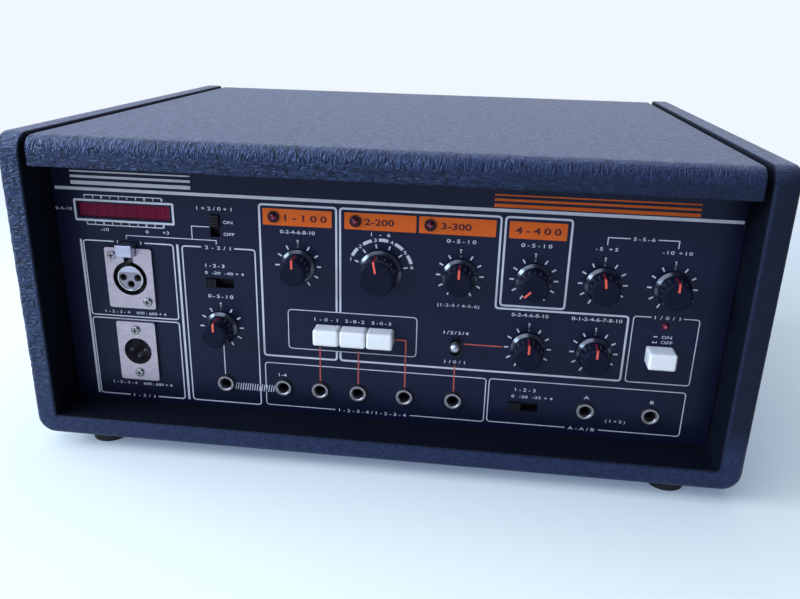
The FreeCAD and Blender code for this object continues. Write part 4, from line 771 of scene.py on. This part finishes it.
turned("jack_sleeves", jack_places, sleeve_outline, "dark_nickel", ("jack_bushings",),
       segments=64)
turned("jack_washers", jack_places, washer_outline, "black_plastic", segments=64)


def dome(radius, height, start, back, steps=8):
    """The outline of a rod with a round front: height is the dome's and start is where it begins."""
    return [(0.0, back), (radius, back)] + [(radius * c, start + height * s) for s, c in turn(steps)]


lamp_row = 141.6
lamp_places = [(x, lamp_row) for x in (-64.8, -16.0, 27.8)]
power_lamp = (166.4, 88.8)
for name, places, outline, replaced, flat in (
        ("lamp_domes", lamp_places, dome(2.38, 1.6, 1.0, -10.0), ("lamp_lenses",), 0.98),
        ("power_lamp_dome", [power_lamp], dome(2.13, 1.6, 0.0, -10.0), (), 0.95)):
    lens = turned(name, places, outline, "lens_red", replaced, closed=False)
    # the lens's front-facing middle takes the pink centre, partly a painted highlight
    second_finish(lens, "lamp_core", lambda polygon: polygon.normal.y < -flat)


def mesh_of_curve(curve):
    """The mesh of a curve or text, which is then removed."""
    made = bpy.data.objects.new(curve.name, curve)
    mesh = bpy.data.meshes.new_from_object(made)
    bpy.data.objects.remove(made)
    bpy.data.curves.remove(curve)
    return mesh


def arc_points(radius, start, end, count):
    """Points of an arc between two angles in radians, both ends included."""
    angles = (start + (end - start) * index / count for index in range(count + 1))
    return [(radius * math.cos(angle), radius * math.sin(angle)) for angle in angles]


def cut_plate(name, outline, holes, thickness):
    """A flat plate through points (mm) with round holes, as a mesh in the panel's plane."""
    curve = bpy.data.curves.new(name, "CURVE")
    curve.dimensions = "2D"
    curve.fill_mode = "BOTH"
    curve.extrude = thickness / 2 * mm
    rounds = [[(x + dx, z + dz) for dx, dz in arc_points(radius, 0.0, 2 * math.pi, 32)[:-1]]
              for x, z, radius in holes]
    for points in [outline] + rounds:
        spline = curve.splines.new("POLY")
        spline.points.add(len(points) - 1)
        spline.points.foreach_set("co", [value for x, z in points for value in (x * mm, z * mm, 0.0, 1.0)])
        spline.use_cyclic_u = True
    return mesh_of_curve(curve)


contact_places = ((-4.65, 0.5), (4.65, 0.5), (0.0, -3.8))
insert_radius, insert_base_radius, insert_base = 8.2, 10.7, 3.0
insert_wall = 0.75
key_height = 4.1
hole_radius = 1.75
plate_thickness = 2.0
face_depth, key_depth, floor_depth = 0.7, 0.25, 8.0


def input_contacts():
    """The insert of the input: a bright ring round a sunk face with three countersunk holes."""
    x, row = place_of("input_connector_insert")
    places = [(x + cx, row + cz) for cx, cz in contact_places]
    front, back = ((face_y - corner.y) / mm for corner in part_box("input_connector_insert"))
    inner = insert_radius - insert_wall
    step_back = back + insert_base
    ring = [(inner, front - 3.0), (inner, front - 0.15), (inner + 0.15, front), (insert_radius - 0.25, front),
            (insert_radius, front - 0.25), (insert_radius, step_back), (insert_base_radius, step_back),
            (insert_base_radius, back), (0.0, back)]
    turned("input_contact_ring", [(x, row)], ring, "bright_nickel",
           ("input_connector_insert",), 96, closed=False)

    reach = math.asin(key_height / inner)
    holes = [(cx, cz, hole_radius) for cx, cz in contact_places]
    for name, outline, cut, depth, material in (
            ("input_contact_face", arc_points(inner, math.pi - reach, 2 * math.pi + reach, 48), holes,
             face_depth, "connector_face_grey"),
            ("input_contact_key", arc_points(inner, reach, math.pi - reach, 24), [],
             key_depth, "latch_metal")):
        mesh = cut_plate(name, outline, cut, plate_thickness)
        middle = on_panel(x, row, front - depth - plate_thickness / 2)
        mesh.transform(Matrix.Translation(middle) @ Matrix.Rotation(math.radians(90), 4, "X"))
        finish_piece(name, mesh, material, sharp=30)
    sink = [(1.7, front - 0.95), (1.75, front - 0.66), (2.3, front - 0.66), (2.3, front - 0.64)]
    turned("input_contact_sinks", places, sink, "black_plastic", segments=32)
    floor = front - floor_depth
    disc = [(0.0, floor - 1.0), (inner - 0.05, floor - 1.0), (inner - 0.05, floor), (0.0, floor)]
    turned("input_contact_floor", [(x, row)], disc, "black_plastic", closed=False)


def output_pins():
    """The three pins of the output, with round tips."""
    x, row = place_of("output_connector_insert")
    front = (face_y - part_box("output_connector_insert")[0].y) / mm
    turned("output_pins", [(x + cx, row + cz) for cx, cz in contact_places],
           dome(1.25, 0.7, front - 0.95, front - 12.0), "lever_metal", segments=24,
           closed=False)


screw_offsets = {"input_connector_insert": (10.2, 14.7), "output_connector_insert": (0.0, 14.7)}
screw_head, recess_depth = 1.7, 0.72
cross_long, cross_short, cross_thickness = 1.66, 0.39, 0.08


def screw_shadows():
    """Dark crosses at the bottom of the recesses in the four connector screws."""
    build = bmesh.new()
    depth = (face_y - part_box("input_connector_shell")[0].y) / mm + screw_head - recess_depth
    for node, (dx, dz) in screw_offsets.items():
        x, row = place_of(node)
        for place in ((x - dx, row + dz), (x + dx, row - dz)):
            for across, up in ((cross_long, cross_short), (cross_short, cross_long)):
                middle, half = on_panel(*place, depth), Vector((across, cross_thickness / 2, up)) * mm
                block(build, middle - half, middle + half)
    bmesh.ops.bevel(build, geom=build.edges[:], offset=0.02 * mm, segments=1, affect="EDGES")
    finish_piece("screw_recess_shadows", build, "black_plastic")


input_contacts()
output_pins()
screw_shadows()

# ---- printing on the panel ----
ink_lift = {"white": 0.05, "orange": 0.05, "red": 0.07, "dark": 0.09}
inks = {color: bmesh.new() for color in ink_lift}


def line(points, width, corner=0, closed=False, color="white"):
    """A printed line along a path on the panel."""
    path = rounded(points, corner, closed)
    edges = []
    for index, point in enumerate(path):
        ways = [point - path[index - 1]] if closed or index else []
        if closed or index < len(path) - 1:
            ways.append(path[(index + 1) % len(path)] - point)
        ways = [way.normalized() for way in ways if way.length > 1e-6]
        way = sum(ways, Vector((0, 0))).normalized()
        side = Vector((-way.y, way.x))
        stretch = 1 / max(0.5, side.dot(Vector((-ways[0].y, ways[0].x))))
        edges.append([inks[color].verts.new(on_panel(*(point + side * sign * width / 2 * stretch),
                                                     ink_lift[color])) for sign in (1, -1)])
    for first, second in zip(edges, edges[1:] + edges[:closed]):
        inks[color].faces.new([first[0], second[0], second[1], first[1]])


def box_line(left, right, row, other_row, width, gap=None, corner=2.0):
    """A printed frame between two rows, where the first row's line may have a gap for a label."""
    path = [(left, row), (left, other_row), (right, other_row), (right, row)]
    if gap:
        path = [(gap[0], row)] + path + [(gap[1], row)]
    line(path, width, corner, closed=gap is None)


bar_low, bar_middle, bar_high = 136.5, 141.5, 146.5


def bar(left, right, text, x, width):
    """An orange field with dark figures in place of an effect's name."""
    corners = [(left, bar_low), (right, bar_low), (right, bar_high), (left, bar_high)]
    build = inks["orange"]
    build.faces.new([build.verts.new(on_panel(*corner, ink_lift["orange"]))
                     for corner in rounded(corners, 0.6, closed=True)])
    words(text, x, bar_middle, 3.9, width, "dark", 0.03)


def around(centre, radius, angle):
    """A point round a centre; the angle is in degrees, clockwise from the top."""
    angle = math.radians(angle)
    return centre[0] + radius * math.sin(angle), centre[1] + radius * math.cos(angle)


def arc(centre, radius, start, end, width):
    count = max(2, round((end - start) / 4))
    line([around(centre, radius, start + (end - start) * index / count) for index in range(count + 1)], width)


def ticks(centre, angles, inner, outer, width=0.9):
    for angle in angles:
        line([around(centre, inner, angle), around(centre, outer, angle)], width)


def written(text, bold, spacing=1.0):
    """Figures as a flat mesh, with the left and right ends of it."""
    curve = bpy.data.curves.new("figures", "FONT")
    curve.body = text
    curve.offset = bold
    curve.resolution_u = 3
    curve.space_character = spacing
    mesh = mesh_of_curve(curve)
    along = [vertex.co.x for vertex in mesh.vertices]
    return mesh, min(along), max(along)


figure_height = 0.73


def words(text, x, height, size=2.3, width=None, color="white", bold=0.010, centred=True):
    """Prints figures with their middle at the height; size is a figure's height, width the whole text's."""
    mesh, left, right = written(text, bold)
    scale = size / figure_height
    stretch = 1.5
    if width:
        spread, first, last = written(text, bold, 2.0)
        bpy.data.meshes.remove(spread)
        natural, growth = right - left, last - first - right + left
        wanted = width / scale / stretch
        if wanted > natural:
            bpy.data.meshes.remove(mesh)
            mesh, left, right = written(text, bold, 1 + (wanted - natural) / growth)
        else:
            stretch *= wanted / natural
    width = (right - left) * scale * stretch
    start = x - width / 2 if centred else x
    for vertex in mesh.vertices:
        vertex.co = on_panel(start + (vertex.co.x - left) * scale * stretch,
                             height + (vertex.co.y - figure_height / 2) * scale, ink_lift[color])
    inks[color].from_mesh(mesh)
    bpy.data.meshes.remove(mesh)


# the rule across the panel, and plain stripes above it
line([(-199.5, 152.5), (199.6, 152.5)], 1.9)
for row, thickness in ((156.2, 2.2), (159.9, 1.5), (163.0, 0.8)):
    line([(-189, row), (-114.6, row)], thickness)
for row, thickness in ((155.2, 2.0), (158.4, 1.4), (161.2, 0.8)):
    line([(63.5, row), (176, row)], thickness, color="orange")

# the level meter
box_line(-188.2, -126.6, 145.7, 133.4, 1.3, corner=0.6)
meter_ticks = [-181.5 + 5.39 * index for index in range(10)]
for row, way in ((148.9, -1), (130.7, 1)):
    line([(-181.5, row), (-133.0, row)], 0.6)
    for index, x in enumerate(meter_ticks):
        line([(x, row), (x, row + way * 1.9)], 1.1 if index in (2, 7, 9) else 0.5)
for x, text in ((meter_ticks[2], "-10"), (meter_ticks[7], "0"), (meter_ticks[9] + 1, "+3")):
    words(text, x, 127.9, 2.0)
words("0-5-10", -195.4, 139.9, 1.8, 10.4)

# the direct-signal switch
words("1 + 2 / 0 + 1", -101.0, 144.5, 2.2, 21.5)
words("ON", -95.9, 136.5, 1.9, centred=False)
words("OFF", -95.9, 129.2, 1.9, centred=False)
line([(-104.6, 133.1), (-115.6, 133.1), (-115.6, 124.9)], 0.5)
line([(-157.4, 122.4), (-157.4, 124.9), (-100.8, 124.9), (-100.8, 122.4)], 0.5)

# the first input and the output beside it
box_line(-185.4, -128.2, 120.6, 71.8, 0.8, (-165.8, -146.2))
words("1 - 1", -156.0, 120.6, 2.2, 15.5)
box_line(-185.4, -128.2, 16.3, 69.8, 0.8, (-165.6, -146.4))
words("1 - 2 / 1", -156.0, 16.3, 2.2, 14.5)
for x in (-187.0, -125.4):
    line([(x, 16.1), (x, 121.0)], 1.4)
for row in (74.6, 25.1):
    words("1 - 2 - 3 - 4    600 : 600 + 4", -156.2, row, 1.9, 40.0)

# the second input
box_line(-122.5, -77.1, 120.4, 16.5, 0.8, (-110.4, -89.8))
words("2 - 2 / 1", -100.0, 120.4, 2.2, 16.0)
words("1-2-3", -102.5, 109.0, 2.2, 12.0)
words("0  -20  -40 + 4", -96.8, 104.4, 1.9, 24.5)
words("0-5-10", -100.0, 89.3, 2.3, 16.0)
line([(-99.9, 35.6), (-99.9, 56.6)], 0.6)
for index in range(17):
    x = -93.6 + index * 1.55
    line([(x, 26.2), (x + 0.9, 31.0)], 0.55)

# the first effect
for points in ([(-73.5, 83.8), (-73.5, 148.7), (-27.4, 148.7), (-27.4, 83.8)],
               [(-73.5, 83.8), (-73.5, 52.0), (-27.4, 52.0), (-27.4, 57.95)]):
    line(points, 1.2, 2.0)
bar(-71.4, -30.1, "1-100", -45.6, 25.5)
words("0-2-4-6-8-10", -50.7, 132.9, 2.3, 21.0)

# the second effect
line([(-25.1, 83.8), (-25.1, 148.7), (68.1, 148.7), (68.1, 93.4), (145.1, 93.4), (145.1, 52.1),
      (-25.1, 52.1), (-25.1, 57.95)], 1.2, 2.0)
bar(-22.5, 19.6, "2-200", -2.0, 17.5)
bar(21.2, 65.4, "3-300", 42.7, 17.5)
words("1 - 6", -1.0, 134.2, 2.2, 11.5)
words("0-5-10", 46.1, 132.9, 2.3, 17.0)
words("(1-2-3 / 4-5-6)", 46.1, 93.4, 1.9, 25.0)
words("0-2-4-6-8-10", 88.7, 90.2, 2.3, 21.5)
words("0-1-2-4-6-7-8-10", 127.4, 90.2, 2.3, 29.0)

# the third effect, the tone controls and the power switch
box_line(70.7, 107.9, 148.8, 95.4, 1.2)
bar(72.9, 105.4, "4-400", 89.2, 26.0)
words("0-5-10", 89.0, 132.9, 2.3, 17.5)
for corner_x, gap_x in ((128.2, 140.4), (167.1, 155.6)):
    line([(corner_x, 135.6), (corner_x, 140.0), (gap_x, 140.0)], 0.6)
words("5-5-6", 148.0, 140.0, 2.1, 12.0)
words("-5 +5", 128.2, 133.2, 2.1, 12.5)
words("-10 +10", 167.0, 133.2, 2.1, 16.5)
box_line(148.0, 185.2, 94.0, 52.0, 0.6, (158.0, 176.0))
words("1 / 0 / 1", 167.0, 94.0, 2.1, 14.5)
for row, text in ((82.0, "ON"), (78.7, "OFF")):
    words(text, 165.2, row, 1.9, centred=False)
line([(160.6, 82.0), (162.8, 82.0)], 0.6)
line([(160.6, 79.2), (160.6, 78.2), (162.8, 78.2), (162.8, 79.2)], 0.5)

# the effect buttons and the remote jacks
box_line(-57.7, 21.9, 83.8, 57.95, 0.5, corner=2.5)
for x, text, width in ((-34.0, "1-0-1", 14.5), (-16.2, "2-0-2", 12.0), (0.2, "3-0-3", 12.0)):
    words(text, x, 78.6, 2.1, width)
for points in ([(-38.0, 59.8), (-38.0, 36.4)], [(-13.8, 59.0), (-13.8, 36.4)],
               [(8.4, 68.4), (15.5, 68.4), (15.5, 36.4)], [(50.6, 68.8), (73.6, 68.8)],
               [(45.9, 54.0), (45.9, 36.4)]):
    line(points, 0.8, color="red")
words("1/2/3/4", 45.8, 75.8, 2.1, 15.0)
words("1/0/1", 45.8, 56.6, 2.1, 12.5)
box_line(-73.4, 65.6, 17.2, 46.9, 0.6, (-28.6, 19.4))
words("1 - 2 - 3 - 4 / 1 - 2 - 3 - 4", -4.6, 17.2, 2.2, 43.0)
words("1-4", -62.3, 38.9, 2.2)

# the outputs
box_line(67.6, 184.3, 17.7, 47.1, 0.6, (115.6, 135.8))
words("A - A / B", 125.7, 17.7, 2.2, 16.0)
words("1-2-3", 89.8, 41.2, 2.2, 12.5)
words("0  -20  -35 + 4", 94.2, 36.6, 1.9, 25.0)
words("A", 126.9, 39.3, 2.2)
words("B", 165.6, 39.3, 2.2)
words("( 1 + 2 )", 145.5, 24.5, 1.9, 12.0)

# scales round the knobs
pot_angles = [-150 + 30 * index for index in range(11)]
mode_angles = [-70 + 30 * index for index in range(6)]
mode_figures = 18.9
for name in knob_names:
    centre = (turning_at[name].x / mm, (turning_at[name].z - underside) / mm)
    if name == "mode_knob":
        ticks(centre, mode_angles, 13.9, 16.4)
        for index, stop in enumerate(mode_angles):
            words(str(index + 1), *around(centre, mode_figures, stop), 2.2)
            if stop != mode_angles[-1]:
                arc(centre, mode_figures, stop + 6.5, stop + 23.5, 1.9)
        continue
    ticks(centre, pot_angles, 11.4, 14.0)
    ticks(centre, [0], 11.2, 14.6, 0.8)
    arc(centre, 15.6, -1.8, 1.8, 1.0)

for color, build in inks.items():
    name = "panel_print_" + color
    finish_piece(name, mesh_of(name, build, solid=False), color + "_ink", sharp=30)

# ---- stage, light and camera ----
backdrop = (0.87, 0.93, 1.0)
floor_color = (0.757, 0.747, 0.66)
floor_half = 8.0


def rays_seen(tree):
    """Tells camera rays, and camera rays together with those that gloss and glass send on."""
    rays = tree.nodes.new("ShaderNodeLightPath").outputs
    sent_on = math_node(tree, "MAXIMUM", rays["Is Glossy Ray"], rays["Is Transmission Ray"])
    return rays["Is Camera Ray"], math_node(tree, "MAXIMUM", rays["Is Camera Ray"], sent_on)


def pale_floor():
    """A pale floor that keeps the object's shadow and fades into the backdrop far away."""
    tree, shader = new_material("pale_floor")
    at = add(tree, "TexCoord", output="Object")
    distance = add(tree, "VectorMath", {0: at}, output="Value", operation="LENGTH")
    far = span(tree, distance, 0.38, 1.15, smooth=True)
    feed(shader, {"Base Color": floor_color, "Roughness": 0.85, "Specular IOR Level": 0.2})
    glow = add(tree, "Emission", {"Color": mix(tree, far, (0.48, 0.66, 1.0), backdrop),
                                  "Strength": span(tree, far, 0.0, 0.6, 1.2, 1.0)})
    share = times(tree, rays_seen(tree)[1], span(tree, far, 0.0, 1.0, 0.24, 1.0))
    both = add(tree, "MixShader", {0: share, 1: shader.outputs[0], 2: glow})
    feed(tree.nodes["Material Output"], {"Surface": both})


floor_mesh = bpy.data.meshes.new("floor")
corners = [(floor_half * x, floor_half * y, 0) for x, y in ((-1, -1), (1, -1), (1, 1), (-1, 1))]
floor_mesh.from_pydata(corners, [], [range(4)])
pale_floor()
floor_mesh.materials.append(finish["pale_floor"])
new_object("floor", floor_mesh)

# the world: a plain backdrop for the camera, darker in front for gloss, and faint light on the object
world = bpy.data.worlds.new("studio")
bpy.context.scene.world = world
world.use_nodes = True
sky = world.node_tree
watched, seen = rays_seen(sky)
tint = mix(sky, seen, (0.60, 0.78, 1.0), mix(sky, watched, (0.80, 0.89, 1.0), backdrop))
way = axes(sky, add(sky, "TexCoord", output="Generated"))
behind = span(sky, way["Y"], -0.15, 0.45, 0.22, 1.12, smooth=True)
mirrored = add(sky, "Mix", {0: watched, 2: behind, 3: 1.0})
strength = add(sky, "Mix", {0: seen, 2: 0.23, 3: mirrored})
feed(sky.nodes["Background"], {"Color": tint, "Strength": strength})


def lamp(name, place, target, size, power, color):
    light = bpy.data.lights.new(name, "AREA")
    light.shape = "RECTANGLE"
    light.size, light.size_y = size
    light.energy = power
    light.color = color
    made = new_object(name, light)
    made.location = place
    made.rotation_euler = (Vector(target) - Vector(place)).to_track_quat("-Z", "Y").to_euler()


lamp("window", (-1.75, -0.80, 0.85), (0.0, -0.05, 0.1), (0.8, 0.7), 40.0, (0.69, 0.83, 1.0))
lamp("tall_window", (-1.75, 0.05, 1.30), (0.0, -0.05, 0.1), (1.2, 1.5), 28.0, (0.66, 0.80, 1.0))
lamp("pale_wall", (-0.70, -1.35, 1.50), (0.0, -0.1, 0.1), (1.4, 1.25), 20.0, (0.74, 0.85, 1.0))
lamp("ceiling", (-0.15, 0.25, 2.1), (0.0, 0.0, 0.1), (2.0, 1.5), 27.0, (0.84, 0.91, 1.0))

# the photograph's viewpoint and directions, as worked out from the cabinet's edges
camera_data = bpy.data.cameras.new("camera")
camera_data.lens = 34.2855
camera_data.sensor_width = 36.0
camera_data.clip_start = 0.01
camera = new_object("camera", camera_data)
right = Vector((0.99233, 0.12122, 0.02405)).normalized()
forward = Vector((-0.10553, 0.93249, -0.34542)).normalized()
up = right.cross(forward)
camera.matrix_world = (Matrix.Translation((0.05936, -0.5647, 0.2624))
                       @ Matrix((right, up, -forward)).transposed().to_4x4())
bpy.context.scene.camera = camera
bpy.context.scene.view_settings.view_transform = "Standard"
